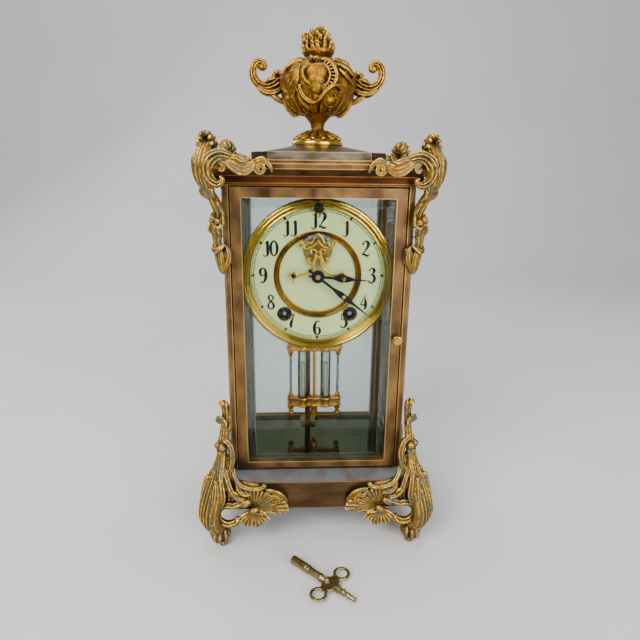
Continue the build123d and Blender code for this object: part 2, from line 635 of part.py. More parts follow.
for at, name in ((time_at, "time"), (strike_at, "strike")):
    mate = first_at if name == "time" else strike_wheel_at
    with BuildPart() as barrel:
        add(gear(at, 80, 0.6, -13.4, -11.6, 3.0, heading(at, mate)))
        add(drum(*at, 21.0, -11.6, 1.6))
        add(drum(*at, 19.8, -10.6, 0.6), mode=Mode.SUBTRACT)
        add(drum(*at, 1.9 + fit, -14, 2), mode=Mode.SUBTRACT)
    barrel.part.label = f"{name}_barrel"
    export_step(barrel.part, f"parts/{name}_barrel.step")
    with BuildPart() as arbor:
        add(drum(*at, 1.9, -21.0, 8.0))
        add(drum(*at, 5.0, -10.0, 0.0, 1.9))
        with BuildSketch(front(-21.0)):
            with Locations(at):
                Rectangle(2.7, 2.7)
        extrude(amount=8.6)
    arbor.part.label = f"{name}_arbor"
    export_step(arbor.part, f"parts/{name}_arbor.step")

with BuildPart() as strike_wheel:
    add(drum(*strike_wheel_at, 0.8, -18.0, 8.0))
    add(gear(strike_wheel_at, 10, 0.6, -14.0, -11.0, 0.8, heading(strike_at, strike_wheel_at) + 180 + 18))
    add(gear(strike_wheel_at, 50, 0.4, 3.2, 4.8, 0.8, 0, 5))
strike_wheel.part.label = "strike_wheel"
export_step(strike_wheel.part, "parts/strike_wheel.step")

# ---------------------------------------------------------------- strike work
with BuildPart() as hammer:
    add(drum(*hammer_at, 1.0, -18.0, 11.8))
    add(drum(*hammer_at, 2.6, 10.2, 11.8, 1.0))
    add(panel([(-31.6, 226.4), (-47.4, 204.6), (-44.6, 202.6), (-28.6, 224.8)], 10.4, 11.6))
    add(drum(*hammer_at, 1.0, 10, 12), mode=Mode.SUBTRACT)
    add(drum(*hammer_at, 1.0, 10, 11.8))
    add(drum(-46, 204, 3.2, 11.6, 32.0))
hammer.part.label = "hammer"
export_step(hammer.part, "parts/hammer.step")

gong_z, gong_y = 206.0, 30.0
coil = []
for step in range(0, 41):
    radius = 9 + 25 * step / 40
    coil.append((radius * math.cos(step * math.pi / 8), gong_y, gong_z + radius * math.sin(step * math.pi / 8)))
with BuildPart() as gong:
    with BuildLine() as spiral:
        Spline(*coil)
    with BuildSketch(Plane(spiral.line @ 0, z_dir=spiral.line % 0)):
        Circle(1.1)
    sweep(path=spiral.line)
    add(drum(6.5, gong_z, 3.6, gong_y - 2.2, gong_y + 2.9))
gong.part.label = "gong"
export_step(gong.part, "parts/gong.step")

with BuildPart() as gong_stand:
    add(block(-8, 8.5, gong_y + 2.9, gong_y + 5.9, gong_z - 5, gong_z + 5))
    add(block(-8, -3, gong_y + 2.9, gong_y + 5.9, floor_z + 3, gong_z - 5))
    add(block(-12, 1, gong_y - 6, gong_y + 7, floor_z, floor_z + 3))
gong_stand.part.label = "gong_stand"
export_step(gong_stand.part, "parts/gong_stand.step")

# ---------------------------------------------------------------- escapement and pendulum
with BuildPart() as suspension_cock:
    add(block(-8, 8, back_plate[1], 10, 240, 274))
    add(block(-6, 6, 10, pendulum_y + 5, 251, 255))
    add(block(-2.5, 2.5, pendulum_y - 0.4, pendulum_y + 0.4, 250, 256), mode=Mode.SUBTRACT)
    add(drum(*pallet_at, 4.0, 7, 11), mode=Mode.SUBTRACT)
    add(drum(0, regulator_z, 1.2 + fit, 7, 11), mode=Mode.SUBTRACT)
suspension_cock.part.label = "suspension_cock"
export_step(suspension_cock.part, "parts/suspension_cock.step")

with BuildPart() as pallet_anchor:
    add(drum(*pallet_at, 0.9, -32.0, 11.6))
    add(drum(*pallet_at, 0.5, -34.2, -32.0))
    add(drum(*pallet_at, 2.0, -31.4, -30.4, 0.9))
    for sx in (-1, 1):
        add(panel([(0, 248.6), (sx * 8, 245.8), (sx * 12, 240.6), (sx * 10.2, 238.8), (sx * 6.6, 243.6), (0, 245.8)],
                  -31.4, -30.4))
        add(drum(sx * 10.6, 240, 0.9, -30.4, -28.5))
    add(drum(*pallet_at, 0.9, -32, -30))
    add(drum(*pallet_at, 3.0, 10.2, 11.6))
    add(panel([(-1.2, 246), (1.2, 246), (1.2, 227.5), (-1.2, 227.5)], 10.4, 11.4))
    add(panel([(-3.4, 225), (3.4, 225), (3.4, 227.6), (-3.4, 227.6)], 10.4, 11.4))
    for sx in (-1, 1):
        add(drum(sx * 2.35, 226.3, 0.9, 11.4, 20.4))
pallet_anchor.part.label = "pallet_anchor"
export_step(pallet_anchor.part, "parts/pallet_anchor.step")

tray_z0, tray_z1, cap_z0, cap_z1 = 85.0, 94.2, 138.6, 143.8
vial_x, rod_x = 10.2, 21.3
with BuildPart() as pendulum_rod:
    add(block(-2.1, 2.1, pendulum_y - 0.1, pendulum_y + 0.1, 245, 253))
    add(block(-2.6, 2.6, pendulum_y - 1.2, pendulum_y + 1.2, 240, 245.6))
    add(post(0, pendulum_y, 1.3, 72, 240))
    add(post(0, pendulum_y, 3.4, 76, 80, 1.3))
    add(post(0, pendulum_y, 2.4, 80, tray_z0, 1.3))
pendulum_rod.part.label = "pendulum_rod"
export_step(pendulum_rod.part, "parts/pendulum_rod.step")


def bob_outline():
    """Wavy outline of the bob plates, seen from above."""
    with BuildSketch() as outline:
        with Locations((0, pendulum_y)):
            Rectangle(2 * rod_x, 8)
            Circle(5)
        for sx in (-1, 1):
            with Locations((sx * vial_x, pendulum_y)):
                Circle(6.2)
            with Locations((sx * rod_x, pendulum_y)):
                Circle(3.4)
        with Locations((0, pendulum_y)):
            Circle(1.3, mode=Mode.SUBTRACT)
    return outline.sketch


with BuildPart() as pendulum_frame:
    for low, high in ((tray_z0, tray_z1), (cap_z0, cap_z1)):
        with BuildSketch(Plane.XY.offset(low)):
            add(bob_outline())
        extrude(amount=high - low)
    for sx in (-1, 1):
        add(post(sx * rod_x, pendulum_y, 1.1, 78, 146))
        add(spun([(0, 75.4), (1.6, 75.8), (2.7, 77.6), (2.7, 79.4), (1.5, 81), (2.4, 83), (2.4, tray_z0), (0, tray_z0)],
                 sx * rod_x, pendulum_y))
        for low, high in ((tray_z1, tray_z1 + 3.4), (cap_z0 - 4, cap_z0), (cap_z1, cap_z1 + 3)):
            add(post(sx * rod_x, pendulum_y, 2.2, low, high))
pendulum_frame.part.label = "pendulum_frame"
export_step(pendulum_frame.part, "parts/pendulum_frame.step")

with BuildPart() as pendulum_vials:
    for sx in (-1, 1):
        add(post(sx * vial_x, pendulum_y, 4.5, tray_z1, cap_z0))
        add(post(sx * vial_x, pendulum_y, 3.7, tray_z1 + 1, cap_z0), mode=Mode.SUBTRACT)
pendulum_vials.part.label = "pendulum_vials"
export_step(pendulum_vials.part, "parts/pendulum_vials.step")

with BuildPart() as pendulum_fill:
    for sx in (-1, 1):
        add(post(sx * vial_x, pendulum_y, 3.7, tray_z1 + 1, 127))
pendulum_fill.part.label = "pendulum_fill"
export_step(pendulum_fill.part, "parts/pendulum_fill.step")

with BuildPart() as regulator_arbor:
    add(drum(0, regulator_z, 1.2, -28.5, 10.6))
    with BuildSketch(front(-28.5)):
        with Locations((0, regulator_z)):
            Rectangle(1.6, 1.6)
    extrude(amount=4.2)
regulator_arbor.part.label = "regulator_arbor"
export_step(regulator_arbor.part, "parts/regulator_arbor.step")

# ---------------------------------------------------------------- winding key
key_long, key_r, key_deg = 60.7, 3.4, -43.6
with BuildPart() as winding_key:
    along = Plane.YZ
    for radius, near, far in ((key_r, 0, 23), (2.5, 23, 31), (2.9, 44, 47), (1.8, 47, key_long)):
        with BuildSketch(along.offset(near)):
            Circle(radius)
        extrude(amount=far - near)
    with BuildSketch(Plane.XY.offset(-1.0)):
        with Locations((37.5, 0)):
            Rectangle(14, 11)
        with Locations((37.5, 13.0), (37.5, -13.0)):
            Circle(6.4)
        with Locations((37.5, 7), (37.5, -7)):
            Rectangle(7, 6)
        with Locations((37.5, 13.4), (37.5, -13.4)):
            Circle(3.4, mode=Mode.SUBTRACT)
    extrude(amount=2.0)
    with BuildSketch(along):
        Rectangle(2.9, 2.9)
    extrude(amount=12, mode=Mode.SUBTRACT)
    with BuildSketch(along.offset(key_long)):
        Rectangle(1.8, 1.8)
    extrude(amount=-6, mode=Mode.SUBTRACT)
    placed = winding_key.part.moved(Location((-19.3, -84.6, key_r), (0, 0, key_deg)))
    add(placed, mode=Mode.REPLACE)
winding_key.part.label = "winding_key"
export_step(winding_key.part, "parts/winding_key.step")
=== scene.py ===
import json
import math
import bmesh
import bpy
import numpy as np
from mathutils import Matrix, Vector


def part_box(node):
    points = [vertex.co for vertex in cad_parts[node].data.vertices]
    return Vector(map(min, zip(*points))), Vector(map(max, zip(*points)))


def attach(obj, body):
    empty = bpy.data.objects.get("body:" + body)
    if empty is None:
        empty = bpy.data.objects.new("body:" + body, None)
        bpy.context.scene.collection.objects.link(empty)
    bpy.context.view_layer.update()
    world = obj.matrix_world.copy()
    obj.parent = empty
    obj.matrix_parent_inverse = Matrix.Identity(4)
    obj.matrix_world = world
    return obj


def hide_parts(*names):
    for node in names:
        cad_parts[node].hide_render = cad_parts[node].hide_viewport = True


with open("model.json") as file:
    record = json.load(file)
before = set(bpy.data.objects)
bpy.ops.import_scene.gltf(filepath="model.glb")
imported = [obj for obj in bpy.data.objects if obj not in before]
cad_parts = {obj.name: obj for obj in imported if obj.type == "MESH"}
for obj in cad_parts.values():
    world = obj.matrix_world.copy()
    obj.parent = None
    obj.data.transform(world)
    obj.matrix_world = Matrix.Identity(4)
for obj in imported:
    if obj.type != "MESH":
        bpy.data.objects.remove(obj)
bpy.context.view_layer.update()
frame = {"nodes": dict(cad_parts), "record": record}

nodes = frame["nodes"]
mm = 0.001


def linear(code):
    # sRGB hex to linear light, which is what a shader mixes
    parts = [int(code[i:i + 2], 16) / 255 for i in (1, 3, 5)]
    return [c / 12.92 if c <= 0.04045 else ((c + 0.055) / 1.055) ** 2.4 for c in parts] + [1.0]


def addNode(tree, kind, values=None, stops=()):
    # one node; a value is a setting, a number, a hex colour or another node's output
    node = tree.nodes.new("ShaderNode" + kind)
    for name, value in (values or {}).items():
        if isinstance(value, bpy.types.NodeSocket):
            tree.links.new(value, node.inputs[name])
        elif isinstance(name, int) or name in node.inputs:
            node.inputs[name].default_value = linear(value) if isinstance(value, str) else value
        else:
            setattr(node, name, value)
    if stops:
        elements = node.color_ramp.elements
        while len(elements) < len(stops):
            elements.new(0.5)
        for element, (position, value) in zip(elements, stops):
            element.position = position
            element.color = linear(value) if isinstance(value, str) else [value, value, value, 1]
    return node


def newMaterial(name):
    material = bpy.data.materials.new(name)
    material.use_nodes = True
    tree = material.node_tree
    tree.nodes.clear()
    place = addNode(tree, "TexCoord").outputs["Object"]
    return material, tree, place


def finishMaterial(tree, values):
    shader = addNode(tree, "BsdfPrincipled", values)
    addNode(tree, "OutputMaterial", {"Surface": shader.outputs["BSDF"]})


# gilt spelter, sand cast: a painted highlight makes it bright on the high edges, painted shade makes it
# brown-black in the hollows, dull green patina between
def giltCasting(name, high, middle, low, patina, wear):
    material, tree, place = newMaterial(name)
    point = addNode(tree, "NewGeometry").outputs["Pointiness"]
    grain = addNode(tree, "TexNoise", {"Scale": 1 / (2.4 * mm), "Detail": 6, "Roughness": 0.7,
        "Vector": place}).outputs["Fac"]
    cloud = addNode(tree, "TexNoise", {"Scale": 1 / (9 * mm), "Detail": 4, "Roughness": 0.65,
        "Vector": place}).outputs["Fac"]
    raised = addNode(tree, "Math", {"operation": "MULTIPLY_ADD", 0: grain, 1: 0.16, 2: -0.08}).outputs[0]
    lifted = addNode(tree, "Math", {"operation": "ADD", 0: point, 1: raised}).outputs[0]
    # painted highlight and shade: the colour runs from `low` in the hollows to `high` on the ridges
    body = addNode(tree, "ValToRGB", {"Fac": lifted}, ((0.44, low), (0.488, middle), (0.512, middle),
        (0.56, high))).outputs["Color"]
    # painted shade: ambient occlusion darkens the colour in the hollows and between the strands
    shade = addNode(tree, "AmbientOcclusion", {"Distance": 6 * mm, "samples": 6, "only_local": False})
    paintedShadeAO = addNode(tree, "ValToRGB", {"Fac": shade.outputs["AO"]},
        ((0.3, 0.06), (0.88, 1.0))).outputs["Color"]
    patches = addNode(tree, "ValToRGB", {"Fac": cloud}, ((0.45, 0.0), (0.62, wear))).outputs["Color"]
    dulled = addNode(tree, "Mix", {"data_type": "RGBA", 0: patches, 6: body, 7: patina}).outputs[2]
    colour = addNode(tree, "Mix", {"data_type": "RGBA", "blend_type": "MULTIPLY", 0: 0.9, 6: dulled,
        7: paintedShadeAO}).outputs[2]
    rough = addNode(tree, "ValToRGB", {"Fac": lifted}, ((0.44, 0.6), (0.58, 0.26))).outputs["Color"]
    pits = addNode(tree, "Bump", {"Strength": 0.6, "Distance": 0.5 * mm, "Height": grain}).outputs["Normal"]
    finishMaterial(tree, {"Metallic": 0.9, "Base Color": colour, "Roughness": rough, "Normal": pits})
    return material


# brass sheet and bar, bronzed brown; along its edges it is rubbed back to gold, and the same bright edge
# colour also serves as a painted highlight
def bronzedBrass(name, deep, middle, edge, stretch, cove=None):
    material, tree, place = newMaterial(name)
    drawn = addNode(tree, "Mapping", {"Scale": stretch, "Vector": place}).outputs["Vector"]
    streaks = addNode(tree, "TexNoise", {"Scale": 1 / (7 * mm), "Detail": 3, "Roughness": 0.5,
        "Vector": drawn}).outputs["Fac"]
    cloud = addNode(tree, "TexNoise", {"Scale": 1 / (16 * mm), "Detail": 5, "Roughness": 0.6,
        "Vector": place}).outputs["Fac"]
    bevelled = addNode(tree, "Bevel", {"Radius": 1.1 * mm, "samples": 6}).outputs["Normal"]
    flat = addNode(tree, "NewGeometry").outputs["Normal"]
    turn = addNode(tree, "VectorMath", {"operation": "DOT_PRODUCT", 0: bevelled, 1: flat}).outputs["Value"]
    # partly real rubbing, partly painted highlight: every bevelled edge gets the bright edge colour
    rubbedEdgeAndHighlight = addNode(tree, "ValToRGB", {"Fac": turn}, ((0.78, 1.0), (0.985, 0.0))).outputs["Color"]
    banded = addNode(tree, "ValToRGB", {"Fac": streaks}, ((0.36, 0.0), (0.66, 1.0))).outputs["Color"]
    brass = addNode(tree, "Mix", {"data_type": "RGBA", 0: banded, 6: deep, 7: middle}).outputs[2]
    patches = addNode(tree, "ValToRGB", {"Fac": cloud}, ((0.45, 0.0), (0.72, 0.7))).outputs["Color"]
    aged = addNode(tree, "Mix", {"data_type": "RGBA", 0: patches, 6: brass, 7: deep}).outputs[2]
    if cove:
        # above this height the bronzing has worn to a grey-blue bloom
        height = addNode(tree, "SeparateXYZ", {"Vector": place}).outputs["Z"]
        above = addNode(tree, "Math", {"operation": "GREATER_THAN", 0: height, 1: cove[0]}).outputs[0]
        bloom = addNode(tree, "ValToRGB", {"Fac": cloud}, ((0.3, 0.25), (0.62, 1.0))).outputs["Color"]
        worn = addNode(tree, "Mix", {"data_type": "RGBA", 0: bloom, 6: middle, 7: cove[1]}).outputs[2]
        aged = addNode(tree, "Mix", {"data_type": "RGBA", 0: above, 6: aged, 7: worn}).outputs[2]
    colour = addNode(tree, "Mix", {"data_type": "RGBA", 0: rubbedEdgeAndHighlight, 6: aged, 7: edge}).outputs[2]
    rough = addNode(tree, "ValToRGB", {"Fac": streaks}, ((0.3, 0.28), (0.7, 0.5))).outputs["Color"]
    lines = addNode(tree, "Bump", {"Strength": 0.35, "Distance": 0.03 * mm,
        "Height": streaks}).outputs["Normal"]
    finishMaterial(tree, {"Metallic": 0.92, "Base Color": colour, "Roughness": rough, "Normal": lines})
    return material


# turned, polished and lacquered: near-mirror, with a clear coat and a fine grain
def lacqueredBrass(name, first, second, roughness=0.2, metallic=1.0):
    material, tree, place = newMaterial(name)
    cloud = addNode(tree, "TexNoise", {"Scale": 1 / (9 * mm), "Detail": 4, "Roughness": 0.6,
        "Vector": place}).outputs["Fac"]
    fine = addNode(tree, "TexNoise", {"Scale": 1 / (0.7 * mm), "Detail": 3, "Roughness": 0.6,
        "Vector": place}).outputs["Fac"]
    toned = addNode(tree, "ValToRGB", {"Fac": cloud}, ((0.35, 0.0), (0.7, 1.0))).outputs["Color"]
    colour = addNode(tree, "Mix", {"data_type": "RGBA", 0: toned, 6: first, 7: second}).outputs[2]
    rough = addNode(tree, "ValToRGB", {"Fac": fine}, ((0.3, roughness * 0.8),
        (0.7, roughness * 1.5))).outputs["Color"]
    grain = addNode(tree, "Bump", {"Strength": 0.3, "Distance": 0.01 * mm,
        "Height": fine}).outputs["Normal"]
    finishMaterial(tree, {"Metallic": metallic, "Coat Weight": 0.3, "Coat Roughness": 0.15,
        "Base Color": colour, "Roughness": rough, "Normal": grain})
    return material


# drawn and polished: cool grey, faint lengthwise lines
def drawnSteel(name, first, second, roughness=0.3, metallic=1.0):
    material, tree, place = newMaterial(name)
    drawn = addNode(tree, "Mapping", {"Scale": (1, 1, 0.1), "Vector": place}).outputs["Vector"]
    lines = addNode(tree, "TexNoise", {"Scale": 1 / (0.5 * mm), "Detail": 4, "Roughness": 0.6,
        "Vector": drawn}).outputs["Fac"]
    banded = addNode(tree, "ValToRGB", {"Fac": lines}, ((0.35, 0.0), (0.65, 1.0))).outputs["Color"]
    colour = addNode(tree, "Mix", {"data_type": "RGBA", 0: banded, 6: first, 7: second}).outputs[2]
    rough = addNode(tree, "ValToRGB", {"Fac": lines}, ((0.3, roughness * 0.8),
        (0.7, roughness * 1.4))).outputs["Color"]
    scratches = addNode(tree, "Bump", {"Strength": 0.3, "Distance": 0.01 * mm,
        "Height": lines}).outputs["Normal"]
    finishMaterial(tree, {"Metallic": metallic, "Base Color": colour, "Roughness": rough,
        "Normal": scratches})
    return material


# plate polished to a dark mirror: a sharp reflection that dulls a little where it was wiped
def mirrorPlate(name, first, second):
    material, tree, place = newMaterial(name)
    cloud = addNode(tree, "TexNoise", {"Scale": 1 / (30 * mm), "Detail": 3, "Roughness": 0.5,
        "Vector": place}).outputs["Fac"]
    toned = addNode(tree, "ValToRGB", {"Fac": cloud}, ((0.4, 0.0), (0.65, 1.0))).outputs["Color"]
    colour = addNode(tree, "Mix", {"data_type": "RGBA", 0: toned, 6: first, 7: second}).outputs[2]
    rough = addNode(tree, "ValToRGB", {"Fac": cloud}, ((0.35, 0.02), (0.7, 0.07))).outputs["Color"]
    finishMaterial(tree, {"Metallic": 1.0, "Base Color": colour, "Roughness": rough})
    return material


# plate glass: mostly clear, reflecting more at a slant, with faint marks; `sheen` is added all over
def plateGlass(name, tint, roughness, sheen):
    material, tree, place = newMaterial(name)
    marks = addNode(tree, "TexNoise", {"Scale": 1 / (6 * mm), "Detail": 5, "Roughness": 0.7,
        "Vector": place}).outputs["Fac"]
    slant = addNode(tree, "Fresnel", {"IOR": 1.5}).outputs["Fac"]
    clear = addNode(tree, "BsdfTransparent", {"Color": tint}).outputs[0]
    rough = addNode(tree, "ValToRGB", {"Fac": marks}, ((0.4, roughness),
        (0.8, roughness + 0.06))).outputs["Color"]
    shine = addNode(tree, "BsdfPrincipled", {"Base Color": tint, "IOR": 1.5, "Transmission Weight": 1.0,
        "Roughness": rough}).outputs[0]
    share = addNode(tree, "Math", {"operation": "MULTIPLY_ADD", 0: slant, 1: 0.9, 2: sheen}).outputs[0]
    mixed = addNode(tree, "MixShader", {0: share, 1: clear, 2: shine}).outputs[0]
    addNode(tree, "OutputMaterial", {"Surface": mixed})
    return material


# gilt castings: `high` is a painted highlight on the ridges, `low` is painted shade in the hollows
giltAntique = giltCasting("giltSpelterWorn", "#FFD468", "#83601F", "#1A1207", "#5F6550", 0.75)
ringGilt = lacqueredBrass("brassTurnedToned", "#8A5F1C", "#C08E38", 0.2)
giltUrn = giltCasting("giltSpelterBurnished", "#FFD04F", "#8A5E14", "#1A1205", "#5E5430", 0.4)
# the last colour of each bronzed brass is its edge colour: rubbed gold, partly a painted highlight
bronzeCase = bronzedBrass("brassSheetBronzed", "#57402A", "#8C6A3E", "#F8CA68", (0.45, 0.45, 0.3))
frieze = bronzedBrass("brassBandRedBrown", "#3A1C0C", "#5B3114", "#C08A3C", (0.15, 0.15, 1))
deckBrass = bronzedBrass("brassPlateTarnished", "#4C4334", "#857A66", "#E8C872", (0.3, 0.3, 1))
bezelGilt = lacqueredBrass("brassTurnedLacquered", "#D9A92B", "#F3CB55", 0.16)
movementBrass = lacqueredBrass("brassRolledMovement", "#A8874A", "#C9A75F", 0.3)
bobGilt = lacqueredBrass("brassStampedGilt", "#D08410", "#F0AE30", 0.24)
keyBrass = lacqueredBrass("brassKeyDulled", "#7C7044", "#A39660", 0.28)
steelRod = drawnSteel("steelRodDrawn", "#7D8184", "#A9ADAE", 0.25)
blueSteel = drawnSteel("steelHandBlued", "#14161E", "#23252C", 0.35, 0.8)
blackPaint = drawnSteel("steelEyeletBlackened", "#0A0A0A", "#161412", 0.2, 0.3)
quicksilver = drawnSteel("mercuryInVial", "#B8BAB4", "#DADBD5", 0.1)
clearPane = plateGlass("plateGlassBevelled", "#F3F7F6", 0.0, 0.01)
bevelGlass = plateGlass("plateGlassBevelSlope", "#F0F6F4", 0.02, 0.07)
groundGlass = plateGlass("plateGlassGroundEdge", "#F2F8F4", 0.2, 0.6)
vialGlass = plateGlass("blownGlassVial", "#F4F8F2", 0.0, 0.1)
floorMirror = mirrorPlate("brassFloorDarkMirror", "#454A2E", "#55583A")
knobBrass = lacqueredBrass("brassKnobToned", "#A8813C", "#C79B4C", 0.26)
standBrass = lacqueredBrass("brassBarDarkened", "#6B5326", "#8A6C34", 0.3)
plinthBrass = bronzedBrass("brassPlinthBronzed", "#4B3824", "#695035", "#D8AC66", (0.15, 0.15, 1),
    cove=(0.0538, "#757D82"))
dialPorcelain = lacqueredBrass("porcelainGlazed", "#E4F09A", "#EDF5B2", 0.12, 0.0)

slotMaterials = {"case_brass": bronzeCase, "gilt_casting": giltAntique, "plate_glass": clearPane,
    "polished_floor": floorMirror, "dark_band": frieze, "porcelain": dialPorcelain,
    "gilt_polished": bezelGilt, "movement_brass": movementBrass, "black_metal": blackPaint,
    "steel": steelRod, "blued_steel": blueSteel, "bright_metal": quicksilver}
for row in frame["record"]["subparts"]:
    target = nodes[row["node"]]
    target.data.materials.clear()
    target.data.materials.append(slotMaterials[row["material_slot"]])
nodeLooks = {"top_platform": deckBrass, "pendulum_rod": bobGilt, "winding_key": keyBrass,
    "front_door_knob": knobBrass, "rear_door_knob": knobBrass, "gong_stand": standBrass,
    "base_plinth": plinthBrass, "pendulum_vials": vialGlass}
for node, look in nodeLooks.items():
    nodes[node].data.materials[0] = look
print("materials on the carried-over nodes")

# modelling helpers: everything is drawn in millimetres in the clock's own frame

def smoothPath(points, count):
    # evenly spaced samples of a smooth curve through the points
    knots = np.array(points, float)
    ends = np.vstack([2 * knots[0] - knots[1], knots, 2 * knots[-1] - knots[-2]])
    spans = len(knots) - 1
    places = []
    for value in np.linspace(0, spans, count * 6):
        i = min(int(value), spans - 1)
        t = value - i
        a, b, c, d = ends[i:i + 4]
        places.append(0.5 * (2 * b + (c - a) * t + (2 * a - 5 * b + 4 * c - d) * t * t
            + (3 * b - a - 3 * c + d) * t ** 3))
    places = np.array(places)
    along = np.concatenate([[0], np.cumsum(np.linalg.norm(np.diff(places[:, :3], axis=0), axis=1))])
    even = np.linspace(0, along[-1], count)
    return np.stack([np.interp(even, along, places[:, k]) for k in range(places.shape[1])], axis=1)


def unit(vectors):
    return vectors / np.maximum(np.linalg.norm(vectors, axis=-1, keepdims=True), 1e-9)


def addGrid(shape, grid, closeRing=False, caps=False):
    # quads over a grid of points; rows may close into rings with capped ends
    rows, columns = grid.shape[:2]
    corner = [[shape.verts.new(point) for point in row] for row in grid]
    last = columns if closeRing else columns - 1
    for i in range(rows - 1):
        for j in range(last):
            k = (j + 1) % columns
            shape.faces.new((corner[i][j], corner[i][k], corner[i + 1][k], corner[i + 1][j]))
    if caps:
        shape.faces.new(list(reversed(corner[0])))
        shape.faces.new(corner[-1])


def addStrand(shape, knots, facing, flutes=3, groove=0.22, count=40, ring=30):
    # scroll bar along knots of (x, y, z, half width, half depth), its fluted face turned to `facing`
    path = smoothPath(knots, count)
    middle, wide, deep = path[:, :3], np.maximum(path[:, 3], 0.25), np.maximum(path[:, 4], 0.25)
    tangent = unit(np.gradient(middle, axis=0))
    face = np.array(facing, float)
    if face.ndim == 2:
        face = smoothPath(face, count)
    face = unit(face - tangent * (face * tangent).sum(-1, keepdims=True))
    across = np.cross(tangent, face)
    angle = np.linspace(0, 2 * math.pi, ring, endpoint=False)
    x, y = np.cos(angle), np.sin(angle)
    ridges = groove * np.cos(math.pi * flutes * (x + 1)) * (1 - x ** 4)
    lift = np.where(y > 0, np.sqrt(np.abs(y)) + ridges, y)
    rows = middle[:, None] + across[:, None] * (wide[:, None] * x)[..., None] + face[:,
        None] * (deep[:, None] * lift)[..., None]
    addGrid(shape, rows, closeRing=True, caps=True)


def curlKnots(centre, first, second, start, turns, radius, shrink, wide, deep, rise=0.0, normal=None):
    # knots of a volute that winds in around its centre, in the plane of the two directions
    centre, first, second = (np.array(v, float) for v in (centre, first, second))
    out = np.cross(first, second) if normal is None else np.array(normal, float)
    steps = max(6, int(abs(turns) * 10))
    knots = []
    for k in range(steps + 1):
        t = k / steps
        angle = start + turns * 2 * math.pi * t
        reach = radius * (1 - t) + radius * shrink * t
        place = centre + reach * (math.cos(angle) * first + math.sin(angle) * second) + out * rise * t
        size = 1 - 0.45 * t
        knots.append([*place, wide * size, deep * size])
    return knots


def addBead(shape, centre, sizes, axes=None):
    # small rounded boss
    basis = np.array(axes if axes is not None else np.eye(3), float)
    rings, sides = 10, 14
    polar = np.linspace(0.06, math.pi - 0.06, rings)
    turn = np.linspace(0, 2 * math.pi, sides, endpoint=False)
    grid = np.stack([np.outer(np.sin(polar), np.cos(turn)) * sizes[0],
        np.outer(np.sin(polar), np.sin(turn)) * sizes[1], np.outer(np.cos(polar),
        np.ones(sides)) * sizes[2]], axis=-1)
    addGrid(shape, np.array(centre, float) + grid @ basis, closeRing=True, caps=True)


def addFan(shape, hinge, up, across, out, spread, reach, ribs, bulge, thick=0.9, lobes=0.07, rise=0.9,
        curl=0.0):
    # shell or leaf whose ribs radiate from its hinge; angles in degrees from `up` towards `across`
    hinge, up, across, out = (np.array(v, float) for v in (hinge, up, across, out))
    columns, rows = max(24, int(ribs * 9)), 22
    fan = np.linspace(0, 1, columns)
    angle = np.radians(spread[0] + (spread[1] - spread[0]) * fan)
    wave = np.cos(2 * math.pi * ribs * fan)
    t = np.linspace(0.02, 1, rows)[:, None]
    far = np.interp(fan, np.linspace(0, 1, len(reach)), reach) * (1 - lobes + lobes
        * np.abs(np.sin(math.pi * ribs * fan)))
    radius = t * far[None]
    place = (hinge + up * (radius * np.cos(angle))[..., None] + across * (radius * np.sin(angle))[...,
        None])
    height = bulge * np.sin(np.minimum(t * math.pi * 0.62,
        math.pi)) + curl * t ** 4 - rise * 0.5 * (wave[None] + 1) * t ** 0.7
    edge = thick * (1 - 0.5 * t)
    top = place + out * (height)[..., None]
    bottom = place + out * (height - 2 * edge)[..., None]
    loop = np.concatenate([top, bottom[:, ::-1]], axis=1)
    addGrid(shape, loop, closeRing=True, caps=True)


def meshInMetres(name, shape):
    mesh = bpy.data.meshes.new(name)
    bmesh.ops.recalc_face_normals(shape, faces=shape.faces)
    shape.to_mesh(mesh)
    shape.free()
    mesh.transform(Matrix.Scale(mm, 4))
    return mesh


def castSolid(name, shape, voxelMm=0.55, smooth=3):
    # fuses overlapping strands into one skin, as a casting has
    rough = meshInMetres(name + "Rough", shape)
    holder = bpy.data.objects.new(name + "Rough", rough)
    bpy.context.scene.collection.objects.link(holder)
    fuse = holder.modifiers.new("fuse", "REMESH")
    fuse.mode, fuse.voxel_size, fuse.use_smooth_shade = "VOXEL", voxelMm * mm, True
    soften = holder.modifiers.new("soften", "SMOOTH")
    soften.factor, soften.iterations = 0.5, smooth
    result = bpy.data.meshes.new_from_object(holder.evaluated_get(bpy.context.evaluated_depsgraph_get()))
    bpy.data.objects.remove(holder)
    bpy.data.meshes.remove(rough)
    result.name = name
    return result


def mirroredCopy(mesh, name, signX, signY):
    copy = mesh.copy()
    copy.name = name
    if signX < 0 or signY < 0:
        copy.transform(Matrix.Diagonal((signX, signY, 1, 1)))
        if signX * signY < 0:
            copy.flip_normals()
    return copy


def placePiece(name, mesh, body, material, replaced=()):
    piece = bpy.data.objects.new(name, mesh)
    bpy.context.scene.collection.objects.link(piece)
    mesh.materials.clear()
    mesh.materials.append(material)
    for polygon in mesh.polygons:
        polygon.use_smooth = True
    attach(piece, body)
    if replaced:
        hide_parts(*replaced)
    return piece


def repeatMoved(shape, move):
    # adds a copy of everything drawn so far, each point where `move` puts it
    copied = bmesh.ops.duplicate(shape, geom=shape.verts[:] + shape.edges[:] + shape.faces[:])["geom"]
    for vertex in [part for part in copied if isinstance(part, bmesh.types.BMVert)]:
        vertex.co = move(*vertex.co)


def overCorner(x, y, z):
    # from the front face to the side face of the same corner
    return cornerY + cornerX - y, cornerY + cornerX - x, z


# corner castings: drawn for the front right corner, then mirrored to the others
cornerX, cornerY = 64.0, -44.0
outward, sideways = np.array([1, -1, 0]) / math.sqrt(2), np.array([1, 1, 0]) / math.sqrt(2)
upright, frontFace = np.array([0, 0, 1.0]), np.array([0, -1.0, 0])


